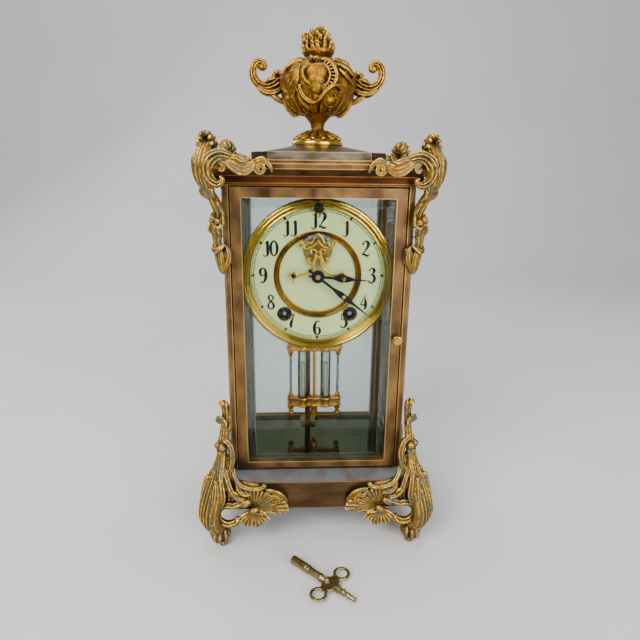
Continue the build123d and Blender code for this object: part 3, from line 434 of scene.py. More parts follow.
def onDiagonal(u, v, z):
    return np.array([cornerX, cornerY, 0]) + outward * u + sideways * v + upright * z


def diagonalKnots(rows):
    # rows of (out from the corner, sideways, height, half width, half depth)
    return [[*onDiagonal(u, v, z), wide, deep] for u, v, z, wide, deep in rows]


topMount = {"armDepth": -60.0, "bodyOut": 20.4, "plumeOut": 16.5, "plumeHeight": 303.0, "stemOut": 8.2}
shape = bmesh.new()
y, out = topMount["armDepth"], topMount["bodyOut"]
# C scroll with a dark gap inside it and its two curled ends
addStrand(shape, [(56, y, 299.6, 1.4, 1.2), (60.6, y - .8, 302, 2.8, 2.2), (66.6, y - 1.6, 303, 3.8, 3.0),
    (72.4, y - 2.2, 300, 4.4, 3.4), (75.4, y - 1.8, 294, 4.4, 3.4), (74.2, y - 1.0, 288, 4.0, 3.2),
    (70.4, y + .2, 284.4, 3.2, 2.6), (66.8, y + 1.0, 284.8, 2.4, 2.2), (65.6, y + 1.2, 287.4, 1.8, 1.8),
    (67.4, y + 1.2, 288.8, 1.3, 1.4)], frontFace, 3, 0.34, 66, 40)
addStrand(shape, [(70.2, y - .6, 299.4, 1.3, 1.8), (66.4, y - 1.0, 298.4, 1.8, 2.0),
    (64.2, y - 1.0, 295.8, 1.8, 2.0), (65.2, y - 1.0, 293.2, 1.5, 1.8), (67.4, y - 1.0, 293.6, 1.1, 1.4)],
    frontFace, 1, 0.2, 30)
# boat-shaped cup of three lips, its upper leaf and the wave scroll along the cornice
for lift, size in ((0.0, 1.0), (2.9, 0.82), (5.6, 0.66)):
    addStrand(shape, [(64, y - .4, 300.4 + lift * .2, 1.1 * size, 1.4),
        (60, y - 1.6 + lift * .18, 296.0 + lift * .8, 1.9 * size, 2.2),
        (54.6, y - 2.2 + lift * .2, 292.2 + lift, 2.1 * size, 2.6), (49.6, y - 2.0 + lift * .2,
        291.6 + lift * .9, 1.9 * size, 2.4), (45.8, y - 1.6, 293.8 + lift * .7, 1.6 * size, 2.0),
        (44.2, y - 1.0, 297.4 + lift * .3, 1.2 * size, 1.5)], frontFace, 1, 0.2, 44, 20)
addStrand(shape, [(61, y - .8, 300.4, 1.4, 1.4), (56.4, y - 1.6, 300.6, 2.2, 1.8),
    (52.0, y - 1.6, 298.6, 2.3, 2.0), (49.0, y - 1.4, 299.2, 1.6, 1.5), (46.6, y - 1.0, 302.4, 0.7, 0.8)],
    frontFace, 2, 0.3, 34)
addStrand(shape, curlKnots((39.8, y - .8, 294.2), (1, 0, 0), (0, 0, 1), 2.4, -1.5, 4.6, 0.1, 1.7, 1.9, 0.9,
    frontFace), frontFace, 1, 0.3, 60, 18)
for lift in (0.0, 1.9):
    addStrand(shape, [(44.0, y - .4, 297.0 + lift, 0.9, 1.2), (39.6, y - .9, 299.4 + lift * .7, 1.3, 1.6),
        (35.6, y - .8, 297.8 + lift * .4, 1.3, 1.5), (33.0, y - .4, 294.6, 1.1, 1.2),
        (32.6, y - .2, 292.0, 0.6, 0.8)], frontFace, 1, 0.2, 30, 16)
# pointed leaves that hang over the post below the cup
for rows in ([(66.0, -51.6, 241.4, 1.4, 1.1), (64.6, -51.6, 236.4, 2.3, 1.5),
        (65.6, -50.8, 230.0, 2.4, 1.5), (67.6, -50.0, 224.6, 1.5, 1.2), (68.6, -49.4, 221.0, .5, .7)],
        [(70.2, -52.2, 241.0, 1.4, 1.2), (69.4, -52.8, 235.6, 2.0, 1.6), (69.2, -51.8, 229.6, 2.0, 1.6),
        (69.0, -50.6, 224.0, 1.2, 1.2), (68.9, -49.6, 221.0, .5, .7)],
        [(63.8, -49.6, 240.0, .9, .9), (61.8, -49.4, 235.6, 1.5, 1.2), (62.8, -49.2, 231.0, 1.5, 1.2),
        (65.4, -49.2, 226.6, 1.0, 1.0)]):
    addStrand(shape, rows, frontFace, 2, 0.3, 26, 20)
repeatMoved(shape, overCorner)
# fluted body that swells out round the cornice corner
addStrand(shape, diagonalKnots([(out - 7.4, 0, 310, 5.6, 2.4), (out - 3.2, 0, 306, 7.6, 3.2),
    (out - .4, 0, 299, 8.8, 3.8), (out, 0, 292.5, 8.8, 3.9), (out - 1.6, 0, 286, 7.6, 3.7),
    (out - 3.6, 0, 281.4, 5.8, 3.2), (out - 5.4, 0, 278.0, 4.4, 2.6)]),
    [outward + upright * z for z in (1.2, .7, .2, -.15, -.5, -.7, -.8)], 5, 0.3, 52, 60)
# crown of small leaves at the waist
for turn in range(-3, 4):
    lean = turn * 0.4
    addStrand(shape, diagonalKnots([(out - 7.6, 5.0 * math.sin(lean), 273.6, 1.0, 1.0),
        (out - 3.6 + math.cos(lean), 6.0 * math.sin(lean), 277.0, 1.7, 1.4),
        (out - 2.4 + 1.4 * math.cos(lean), 7.2 * math.sin(lean), 280.8, 1.1, 1.0)]), outward, 1, 0.15, 16,
        12)
# bowed stem, beads, leaf cup and neck hanging below it
stem = topMount["stemOut"]
addStrand(shape, diagonalKnots([(stem + 6.8, 0, 278.5, 3.4, 2.4), (stem + 3.8, 0, 273.4, 4.4, 3.0),
    (stem + .4, 0, 267, 4.8, 3.2), (stem - .4, 0, 261.6, 4.4, 3.0), (stem + 1.6, 0, 257.6, 3.2, 2.4),
    (stem + 3.6, 0, 257.4, 2.0, 1.8)]), outward + upright * 0.25, 3, 0.36, 44, 36)
for side in (-1, 1):
    addStrand(shape, diagonalKnots([(stem, side * 4.6, 266, .9, 1.0),
        (stem + 1.6, side * 6.0, 261.4, 1.7, 1.5), (stem + 1.6, side * 5.8, 257.4, 2.1, 1.8),
        (stem + 3.4, side * 4.2, 255.6, 1.4, 1.4)]), outward, 1, 0.2, 24, 16)
    addBead(shape, onDiagonal(stem + 4.2, side * 3.2, 259.0), (2.3, 2.3, 2.3))
addBead(shape, onDiagonal(stem + 5.6, 0, 260.6), (2.5, 2.5, 2.5))
addFan(shape, onDiagonal(stem - 1.0, 0, 247.4), upright, sideways, outward, (-62, 62),
    (8.0, 9.8, 10.6, 9.8, 8.0), 5, 6.2, 1.3, 0.16, 1.3, 2.4)
addStrand(shape, diagonalKnots([(stem + 2.6, 0, 253.8, 5.0, 3.0), (stem + 2.4, 0, 249, 4.2, 2.8),
    (stem + 2.4, 0, 244.6, 3.4, 2.6), (stem + 1.6, 0, 240.4, 3.4, 2.4), (stem, 0, 238, 2.2, 1.8)]), outward,
    2, 0.28, 30)
addStrand(shape, diagonalKnots([(stem + .6, -6.0, 243.0, 1.2, 1.2), (stem + 3.6, -3.0, 239.6, 1.9, 1.6),
    (stem + 4.6, 0, 238.2, 2.0, 1.8), (stem + 3.6, 3.0, 239.6, 1.9, 1.6),
    (stem + .6, 6.0, 243.0, 1.2, 1.2)]), outward, 1, 0.15, 24, 16)
# plume: a ribbed shell on the scroll, its hollow side and frilled rim turned outward
plume, top = topMount["plumeOut"], topMount["plumeHeight"]
addFan(shape, onDiagonal(plume - .6, 0, top - .6), upright, sideways, -outward, (-96, 96),
    (7.0, 9.4, 13.0, 15.6, 13.0, 9.4, 7.0), 9, 5.6, 1.3, 0.08, 1.3, -2.6)
for turn in range(-4, 5):
    lean = turn * 0.40
    addStrand(shape, [[*onDiagonal(plume - 1.6, 6.6 * math.sin(lean), top + 2 + 9.6 * math.cos(lean)), 1.3,
        1.2], [*onDiagonal(plume + .4, 8.2 * math.sin(lean), top + 2 + 11.8 * math.cos(lean)), 1.9, 1.5],
        [*onDiagonal(plume + 2.6, 8.6 * math.sin(lean), top + 1.6 + 12.0 * math.cos(lean)), 1.1, 1.0]],
        outward, 1, 0.15, 14, 12)
for lean in (-0.9, 0, 0.9):
    addStrand(shape, [[*onDiagonal(plume + 2.4, 1.6 * math.sin(lean), top), 1.3, 1.2],
        [*onDiagonal(plume + 2.2, 4.0 * math.sin(lean), top + 4.6), 1.7, 1.3],
        [*onDiagonal(plume - .6, 5.4 * math.sin(lean), top + 8.6), 0.8, .9]], outward, 1, 0.25, 14, 14)
topMountMesh = castSolid("topMount", shape, 0.45, 2)
# the drop's inner leaf is dressed back where an opened door passes it
doorClear = {"x": 62.1, "y": 44, "below": 245}
for vertex in topMountMesh.vertices:
    low, inner = vertex.co.z < doorClear["below"] * mm, abs(vertex.co.x) < doorClear["x"] * mm
    if low and inner and abs(vertex.co.y) > doorClear["y"] * mm:
        vertex.co.x = math.copysign(doorClear["x"] * mm, vertex.co.x)
print("top corner casting", len(topMountMesh.polygons))

foot = {"faceDepth": -60.5, "ringX": 70.4, "ringZ": 29.4, "ringRadius": 8.9, "bossX": 50.5, "bossZ": 33.0}
shape = bmesh.new()
y, ringX, ringZ, ringR = foot["faceDepth"], foot["ringX"], foot["ringZ"], foot["ringRadius"]
# folded acanthus web from the knot down to the ring and out to the spray
addFan(shape, (73.0, y + 5.0, 84), (0.0, -0.14, -0.98), (-1, 0, 0), (0, -0.98, 0.14), (-12, 21),
    (47, 46, 45, 42, 37, 30), 5, 2.2, 1.8, 0.05, 2.0, 0.6)
addFan(shape, (64.0, y + 1.0, 58), (0.0, -0.05, -1), (-1, 0, 0), frontFace, (-20, 78), (18, 20, 22, 22, 20),
    6, 1.8, 1.4, 0.08, 1.3, 0.8)
# ring scroll round the hole, with its curled end
addStrand(shape, [(ringX - 15.0, y - 2.6, ringZ + 9.6, 2.2, 2.4),
    (ringX - 11.0, y - 2.8, ringZ + 10.6, 2.8, 2.8)] + [(ringX + ringR * math.cos(a), y - 2.6,
    ringZ + ringR * math.sin(a), 2.9, 3.0) for a in np.linspace(2.0, -2.3, 13)] + [(ringX - 7.2, y - 2.4,
    ringZ - 4.0, 2.0, 2.2), (ringX - 5.4, y - 2.4, ringZ - 4.6, 1.4, 1.6)], frontFace, 2, 0.34, 90, 30)
addBead(shape, (ringX - 6.8, y - 3.6, ringZ - 5.2), (2.2, 2.0, 2.2))
# long rib from the upright down and out over the plinth to the spray's bead
addStrand(shape, [(71.5, y + 7.4, 77, 1.8, 1.8), (67.4, y + 4.4, 68, 2.2, 2.1),
    (65.0, y + .9, 61, 2.2, 2.2), (60.8, y - 1.4, 55.2, 2.1, 2.2), (53.6, y - 1.8, 52.0, 2.0, 2.1),
    (47.0, y - 1.6, 51.4, 1.8, 1.9), (42.8, y - 1.6, 52.8, 2.0, 2.0), (41.4, y - 1.6, 55.4, 1.7, 1.7)],
    frontFace, 2, 0.3, 60)
for rows in ([(73.4, y + 2, 70, 1.8, 1.8), (70.4, y - 2.0, 58, 2.6, 2.2), (67.4, y - 3.4, 50, 2.6, 2.2),
        (63.0, y - 3.4, 44.4, 2.2, 2.0), (58.4, y - 3.2, 42.6, 1.6, 1.6)],
        [(76.4, y - 1.4, 66, 1.8, 1.8), (75.0, y - 5.0, 55, 2.7, 2.4), (74.4, y - 6.2, 47, 2.8, 2.4),
        (76.2, y - 6.8, 40, 2.4, 2.2), (80.4, y - 7.0, 32, 1.8, 1.8)],
        [(78.6, y - 5.4, 62, 1.6, 1.8), (79.0, y - 7.8, 52, 2.4, 2.2), (80.2, y - 9.0, 43, 2.6, 2.4),
        (82.2, y - 9.4, 34, 2.4, 2.2), (83.0, y - 8.4, 24, 1.8, 1.8)],
        [(64.0, y - 1.0, 58, 1.4, 1.4), (62.0, y - 2.4, 51, 2.0, 1.7), (57.8, y - 2.4, 47.0, 1.9, 1.7),
        (52.6, y - 2.2, 46.6, 1.2, 1.3)]):
    addStrand(shape, rows, frontFace, 2, 0.34, 40, 26)
addStrand(shape, curlKnots((65.8, y - 4.2, 47.2), (1, 0, 0), (0, 0, 1), 1.0, 1.1, 3.4, 0.2, 1.1, 1.3, 0,
    frontFace), frontFace, 1, 0.1, 34, 14)
# bosses, the spray that fans out from them along the plinth and its rolled upper edge
bossX, bossZ = foot["bossX"], foot["bossZ"]
addBead(shape, (57.0, y - 4.0, 39.8), (5.2, 3.0, 3.3), ((.9, 0, -.43), (0, 1, 0), (.43, 0, .9)))
addBead(shape, (bossX, y - 3.8, bossZ), (4.2, 3.0, 3.0), ((.9, 0, -.43), (0, 1, 0), (.43, 0, .9)))
hinge, inward = np.array([bossX, y - 0.6, bossZ]), np.array([-1.0, 0, 0])
addFan(shape, hinge, upright, inward, frontFace, (-46, 40), (19, 20, 19, 18), 8, 2.8, 1.4, 0.07, 1.5, 0.6)
addFan(shape, hinge, upright, inward, frontFace, (36, 106), (18, 20.5, 24.5, 27.5, 29, 20), 8, 2.4, 1.4,
    0.12, 1.5, 1.0)
addFan(shape, hinge, upright, inward, frontFace, (102, 248), (12, 16.0, 13.5, 17, 15.0, 17, 14, 13), 11,
    3.0, 1.4, 0.16, 1.5, 1.4)
for rows in ([(40.6, y - 1.8, 50.4, 1.1, 1.3), (35.6, y - 2.4, 49.8, 1.8, 1.7),
        (29.6, y - 2.2, 47.0, 1.8, 1.7), (25.6, y - 1.6, 42.4, 1.5, 1.4), (24.2, y - 1.0, 38.6, .7, .9)],
        [(39.4, y - 2.4, 49.4, 1.0, 1.1), (37.6, y - 3.0, 45.6, 1.5, 1.4), (33.6, y - 3.0, 45.0, 1.5, 1.4),
        (30.4, y - 2.8, 42.4, 1.4, 1.4), (30.8, y - 2.8, 39.6, 1.1, 1.2), (33.2, y - 2.8, 39.4, .9, 1.0)]):
    addStrand(shape, rows, frontFace, 1, 0.25, 36, 18)
repeatMoved(shape, overCorner)
# fluted body from the knot down over the plinth's corner
addStrand(shape, diagonalKnots([(13.6, 0, 84, 3.6, 2.4), (15.6, 0, 76, 4.8, 3.0), (18.4, 0, 66, 6.8, 3.6),
    (22.4, 0, 56, 8.8, 4.2), (26.8, 0, 45, 10.4, 4.8), (29.8, 0, 34, 10.8, 5.2), (29.4, 0, 25.6, 10.2, 5.4),
    (25.6, 0, 19.0, 8.6, 5.2), (20.0, 0, 15.6, 6.4, 4.6)]), [outward + upright * z for z in (.1, .3, .5, .5,
    .4, .1, -.4, -.9, -1.4)], 6, 0.26, 80, 72)
# toe under it: a ribbed pad with split leaf ends and beads
addBead(shape, onDiagonal(18.6, 0, 8.0), (7.6, 7.6, 7.6))
for turn in (-75, -38, 0, 38, 75):
    lean = math.radians(turn)
    addStrand(shape, diagonalKnots([(18.4 + 5.4 * math.cos(lean), 5.6 * math.sin(lean), 14.0, 1.6, 1.6),
        (18.8 + 7.2 * math.cos(lean), 7.4 * math.sin(lean), 8.6, 2.3, 2.0),
        (18.6 + 6.4 * math.cos(lean), 6.6 * math.sin(lean), 3.6, 2.0, 1.7),
        (18.0 + 4.4 * math.cos(lean), 5.0 * math.sin(lean), 1.6, 1.2, 1.2)]), outward, 1, 0.25, 20, 14)
for turn in (-56, 56):
    addBead(shape, onDiagonal(18.6 + 6.6 * math.cos(math.radians(turn)), 6.6 * math.sin(math.radians(turn)),
        2.3), (2.0, 2.0, 2.0))
# knot where the upright starts: a scroll end each side and two beads in front
for side in (-1, 1):
    addStrand(shape, diagonalKnots([(13.4, side * 1.0, 90.4, 1.8, 1.8), (12.0, side * 4.6, 88.6, 2.5, 2.3),
        (10.8, side * 7.2, 82, 2.8, 2.5), (11.6, side * 7.4, 73, 2.7, 2.4),
        (14.0, side * 6.2, 65, 2.2, 2.2), (17.0, side * 4.0, 58, 1.4, 1.6)]),
        outward + sideways * side * .5, 2, 0.34, 44, 28)
    addBead(shape, onDiagonal(16.6, side * 2.8, 85.4), (3.2, 3.2, 3.2))
addStrand(shape, diagonalKnots([(17.4, 0, 82, 2.6, 1.8), (17.6, 0, 74, 3.2, 2.0), (19.4, 0, 65, 2.8, 1.8),
    (21.4, 0, 57, 1.2, 1.2)]), outward, 3, 0.34, 30)
# upright stem with a leaf collar and one curled tip
addStrand(shape, diagonalKnots([(13.4, 0, 86, 3.6, 2.4), (11.8, 0, 94, 3.7, 2.4), (10.8, 0, 101, 3.4, 2.3),
    (10.2, 0, 108, 3.2, 2.3), (10.0, 0, 114, 3.4, 2.4), (10.4, 0, 119, 3.8, 2.8),
    (12.4, 0, 121.4, 3.2, 2.6), (14.2, 0, 119.2, 2.2, 2.0)]), outward, 3, 0.34, 58, 32)
addFan(shape, onDiagonal(8.6, 0, 100.6), upright, sideways, outward, (-70, 70),
    (7.4, 10.4, 11.0, 10.4, 7.4), 5, 5.6, 1.3, 0.16, 1.3, 2.4)
footMesh = castSolid("cornerFoot", shape, 0.5, 2)
print("foot casting", len(footMesh.polygons))

corners = {"front_left": (-1, 1), "front_right": (1, 1), "rear_left": (-1, -1), "rear_right": (1, -1)}
for where, (signX, signY) in corners.items():
    for mesh, node in ((topMountMesh, "top_mount_"), (footMesh, "foot_")):
        copy = mirroredCopy(mesh, node + where + "_cast", signX, signY)
        placePiece(node + where + "_cast", copy, "case", giltAntique, (node + where,))
print("eight corner castings placed")

# urn on the top
urn = {"heights": (334, 336.4, 343, 351, 356, 360, 365, 368.4, 370, 372.4),
    "radii": (12.5, 18.6, 25.2, 28.6, 29, 28.4, 25, 19, 14, 10.4)}


def onUrn(rows, lift=0.0):
    # rows of (x, height, half width, half depth) laid on the bowl's front, with the facings
    knots, faces = [], []
    for x, z, wide, deep in rows:
        reach = float(np.interp(z, urn["heights"], urn["radii"])) + lift
        y = -math.sqrt(max(reach * reach - x * x, 4.0))
        knots.append([x, y, z, wide, deep])
        slope = float(np.interp(z, (334, 343, 356, 366, 371), (-0.8, -0.5, 0.0, 0.7, 1.1)))
        faces.append([x, y, slope * reach])
    return knots, unit(np.array(faces))


def spin(shape, profile, sides=120, wave=0.0, waves=0, at=(0.0, 0.0)):
    # turned body from (radius, height), with an optional row of lobes
    turn = np.linspace(0, 2 * math.pi, sides, endpoint=False)
    rows = [[[at[0] + (r + wave * math.cos(waves * a)) * math.cos(a),
        at[1] + (r + wave * math.cos(waves * a)) * math.sin(a), z] for a in turn] for r, z in profile]
    addGrid(shape, np.array(rows), closeRing=True, caps=True)


shape = bmesh.new()
for rows in ([(-6, 363.6, .9, 1.2), (-10, 361.6, 1.1, 1.5), (-11.6, 357.6, 1.2, 1.6),
        (-9.6, 353.2, 1.2, 1.5), (-5.6, 349.6, 1.0, 1.3), (-4.4, 346, .8, 1.0)],
        [(-1, 367.0, 1.0, 1.4), (5.0, 366.8, 1.3, 1.8), (9.8, 362.4, 1.4, 1.9), (11.8, 357, 1.4, 1.9),
        (10.2, 351.8, 1.2, 1.7), (6.4, 348.8, .9, 1.3)], [(1.5, 363.8, .6, 1.0), (5.2, 361.8, .8, 1.2),
        (7.0, 357.4, .8, 1.2), (6.0, 352.6, .7, 1.1), (3.0, 348.4, .6, 1.0)],
        [(-14.0, 351.0, 1.0, 1.2), (-13.0, 346.6, 1.7, 1.8), (-9.6, 342.4, 1.8, 2.0),
        (-4.6, 340.2, 1.7, 2.0), (0.4, 342.2, 1.6, 1.9), (4.6, 346.8, 1.5, 1.8), (9.6, 350.2, 1.5, 1.8),
        (15.4, 351.4, .8, 1.2)], [(-15.4, 348.6, .9, 1.2), (-13.0, 342.6, 1.5, 1.8),
        (-8.8, 338.2, 1.5, 1.8), (-4.0, 335.2, .9, 1.2)], [(8.4, 350.0, .9, 1.2), (12.6, 350.6, 1.5, 1.6),
        (15.8, 348.2, 1.3, 1.5), (14.2, 346.0, .8, 1.0)], [(3.0, 345.0, .8, 1.1), (3.6, 341.0, 1.2, 1.5),
        (6.4, 338.0, 1.2, 1.5), (10.6, 338.2, 1.1, 1.4), (12.6, 341.6, 1.0, 1.3), (10.6, 345.4, .8, 1.1)],
        [(-12, 367.4, .8, 1.0), (-17, 366.2, 1.5, 1.6), (-22, 363.6, 1.4, 1.6), (-25, 360.4, .7, 1.0)],
        [(-9, 369.0, .8, 1.0), (-13.5, 369.6, 1.4, 1.5), (-18.5, 368.0, 1.2, 1.4), (-21.5, 366.4, .7, .9)],
        [(9.6, 368.6, .9, 1.2), (14.0, 368.4, 2.0, 1.9), (19.0, 366.6, 1.9, 1.8), (22.6, 364.0, .7, 1.0)],
        [(12.6, 364.6, .8, 1.0), (17.0, 363.0, 1.4, 1.5), (21.6, 360.4, 1.4, 1.5), (25.0, 357.2, .8, 1.0)],
        [(13.6, 361.0, .7, .9), (16.8, 358.6, 1.2, 1.3), (20.4, 355.6, 1.2, 1.3), (24.0, 353.0, .7, .9)]):
    knots, faces = onUrn(rows, 1.2)
    addStrand(shape, knots, faces, 2, 0.3, 44, 22)
# ribs between the two lines of the right-hand scroll
for step in range(11):
    lean = -1.05 + step * 0.23
    knots, faces = onUrn([(-1 + r * 1.05 * math.cos(lean), 357.4 + r * math.sin(-lean), .62,
        1.2) for r in (7.6, 9.4, 11.0)], 0.8)
    addStrand(shape, knots, faces, 1, 0.1, 8, 10)
# heart-shaped boss, volute above it and the acanthus fans beside it
for x, z, sizes in ((-2.0, 358.4, (7.4, 3.4, 6.0)), (-2.1, 354.4, (6.4, 3.4, 6.0)),
        (-2.3, 350.2, (4.6, 3.6, 6.2)), (-2.6, 346.0, (2.9, 3.4, 5.4)), (7.6, 341.8, (4.0, 3.0, 3.6)),
        (-21.4, 343.6, (3.0, 2.6, 3.0))):
    (boss,), _ = onUrn([(x, z, 1, 1)], -0.4)
    addBead(shape, boss[:3], sizes)
(volute,), _ = onUrn([(-2.6, 366.4, 1, 1)], 1.2)
addStrand(shape, curlKnots(volute[:3], (1, 0, 0), (0, -.55, .83), 2.2, 1.4, 4.0, 0.1, 1.3, 1.5, 1.2,
    (0, -.83, -.55 + 1.1)), (0, -.8, .6), 1, 0.2, 50, 14)
for step in range(7):
    start = (-13.2 - 0.2 * step, 363.4 - 1.3 * step)
    end = (-22.5 + 1.4 * abs(step - 2.5), 361.6 - 2.9 * step)
    knots, faces = onUrn([(*start, .7, .9), ((start[0] + end[0]) / 2, (start[1] + end[1]) / 2 + 1.4, 1.2,
        1.5), (*end, .7, .9)], 0.7)
    addStrand(shape, knots, faces, 1, 0.2, 16, 12)
# three-grooved lobes that hang from the handles towards the stem
for side in (-1, 1):
    for lift in (-2.6, 0, 2.6):
        addStrand(shape, [[side * 36.5, lift * .8, 348.6, 1.3, 1.5], [side * 31, lift, 344.6, 1.8, 2.0],
            [side * 25.4, lift * .8, 342.0, 1.3, 1.6], [side * 23, lift * .6, 343.6, .9, 1.1]],
            (side * .5, 0, -.85), 1, 0.2, 26, 16)
        addStrand(shape, [[side * 25.4, lift * .8, 345.0, 1.2, 1.4], [side * 22.6, lift, 338.4, 1.8, 2.0],
            [side * 17.6, lift * .9, 333.4, 1.6, 1.8], [side * 13.4, lift * .6, 334.4, 1.0, 1.2]],
            (side * .6, 0, -.8), 1, 0.2, 30, 16)
    for x, y, z, r in ((26.5, -7, 360.6, 2.2), (29.5, -3.6, 362.2, 2.0), (28.8, 3.6, 362.0, 2.0),
            (26.5, 7, 360.6, 2.2), (31.6, 0, 360.8, 2.6)):
        addBead(shape, (side * x, y, z), (r, r, r * .9))
# the same relief on the back, then the turned bowl under it
repeatMoved(shape, lambda x, y, z: (-x, -y, z))
for step in range(18):
    a = step * 2 * math.pi / 18
    c, d = math.cos(a), math.sin(a)
    addStrand(shape, [[c * r, d * r, z, wide, deep] for r, z, wide,
        deep in ((11, 333.8, 1.4, 1.6), (16.8, 336.0, 2.5, 2.4), (21.4, 340.0, 3.2, 2.6),
        (24.6, 344.6, 3.0, 2.0), (26.6, 349.0, 1.6, 1.0))], (c, d, -.5), 1, 0.12, 26, 14)
spin(shape, list(zip(urn["radii"], urn["heights"])), 140, 0.35, 16)
placePiece("urn_bowl_cast", castSolid("urnBowl", shape, 0.42, 1), "case", giltUrn, ("urn_bowl",))

for side, node in ((-1, "urn_handle_left"), (1, "urn_handle_right")):
    shape = bmesh.new()
    addStrand(shape, [[side * x, 0, z, wide, deep] for x, z, wide,
        deep in ((27.0, 357.6, 3.8, 3.6), (32.6, 353.8, 3.6, 3.2), (38.6, 352.4, 3.4, 3.0),
        (44.4, 354.6, 3.2, 2.8), (47.6, 360.2, 3.0, 2.6), (46.8, 366.4, 2.8, 2.4), (43.2, 369.6, 2.4, 2.2),
        (39.8, 368.4, 2.1, 2.0), (39.4, 365.2, 1.8, 1.8), (41.6, 364.2, 1.4, 1.4))], (0, -1, 0), 3, 0.32,
        80, 36)
    addBead(shape, (side * 41.4, 0, 365.4), (2.4, 3.6, 2.4))
    for y in (-2.4, 2.4):
        addStrand(shape, [[side * 26, y, 352, 1.6, 1.6], [side * 32, y * 1.3, 348.6, 2.2, 2.0],
            [side * 39, y * 1.2, 348.6, 2.0, 1.8], [side * 44.6, y * .8, 351.4, 1.2, 1.2]],
            (0, np.sign(y), -.6), 2, 0.3, 34, 20)
        addStrand(shape, [[side * 30, y, 358.4, 1.2, 1.2], [side * 34, y * 1.4, 357.6, 1.6, 1.4],
            [side * 38.4, y, 355.6, .8, .9]], (0, np.sign(y), .6), 1, 0.2, 20, 14)
    placePiece(node + "_cast", castSolid(node, shape, 0.42, 1), "case", giltUrn, (node,))

# foot: acanthus dome on the stem; its rim disc is polished
shape = bmesh.new()
spin(shape, [(17.4, 314.4), (17.2, 315.2), (14.6, 317.4), (9.6, 319.6), (5.8, 321.8), (4.8, 324),
    (5.6, 327.4), (8.6, 330.8), (10.2, 332.6), (10.6, 333.4), (9.8, 334.6)], 110)
for step in range(14):
    a = step * 2 * math.pi / 14
    away = np.array([math.cos(a), math.sin(a), 0])
    addStrand(shape, [[*(away[:2] * r), z, wide, 1.0] for r, z, wide in ((6.4, 321.6, .8),
        (10.6, 319.8, 1.7), (14.4, 318.0, 2.0), (17.6, 315.8, 1.2))], away * .5 + upright, 2, 0.35, 18, 16)
    addBead(shape, (away[0] * 17.4, away[1] * 17.4, 316.0), (1.5, 1.5, 1.2))
placePiece("urn_foot_cast", castSolid("urnFoot", shape, 0.42, 1), "case", giltUrn, ("urn_foot",))
shape = bmesh.new()
spin(shape, [(19.2, 311.0), (19.6, 311.5), (19.6, 313.6), (19.1, 314.3), (17.0, 314.8)], 120)
placePiece("urn_foot_disc", meshInMetres("urnFootDisc", shape), "case", bezelGilt, ())

# cap cove and the cluster of small leaves and flames on it
shape = bmesh.new()
spin(shape, [(8.8, 371.6), (9.6, 372.4), (10.6, 374), (12.0, 375.4), (12.0, 377), (9.6, 378), (7.6, 384),
    (4.6, 389), (1.4, 392.6)], 90)
rng = np.random.default_rng(7)
for ring, (count, reach, height, size) in enumerate(((16, 11.2, 377.4, 1.5), (14, 10.4, 380.0, 1.5),
        (12, 9.2, 383.4, 1.5), (10, 7.4, 386.6, 1.4), (7, 5.0, 389.6, 1.3))):
    for step in range(count):
        a = (step + 0.5 * ring) * 2 * math.pi / count
        away = np.array([math.cos(a), math.sin(a), 0])
        twist = np.array([-math.sin(a), math.cos(a), 0]) * rng.uniform(-1.6, 1.6)
        h = height + rng.uniform(-.5, .5)
        addStrand(shape, [[*(away * (reach - 2.0))[:2], h - 2.2, size * .8, .9],
            [*(away * (reach - .2) + twist * .4)[:2], h, size * 1.1, 1.1],
            [*(away * (reach + .9) + twist)[:2], h + 2.4, size * .7, .9]], away, 1, 0.2, 12, 12)
for x, z, r in ((-9.6, 383.8, 2.8), (-10.4, 386.4, 2.2)):
    addBead(shape, (x, -2.5, z), (r, r, r))
addStrand(shape, [[.4, 0, 388, 2.2, 1.6], [.6, -.4, 391, 1.6, 1.2], [1.4, 0, 394.0, .5, .5]], (0, -1, 0), 1,
    0.2, 14, 12)
placePiece("urn_flame_cast", castSolid("urnFlame", shape, 0.4, 1), "case", giltUrn, ("urn_flame",))
print("urn modelled")

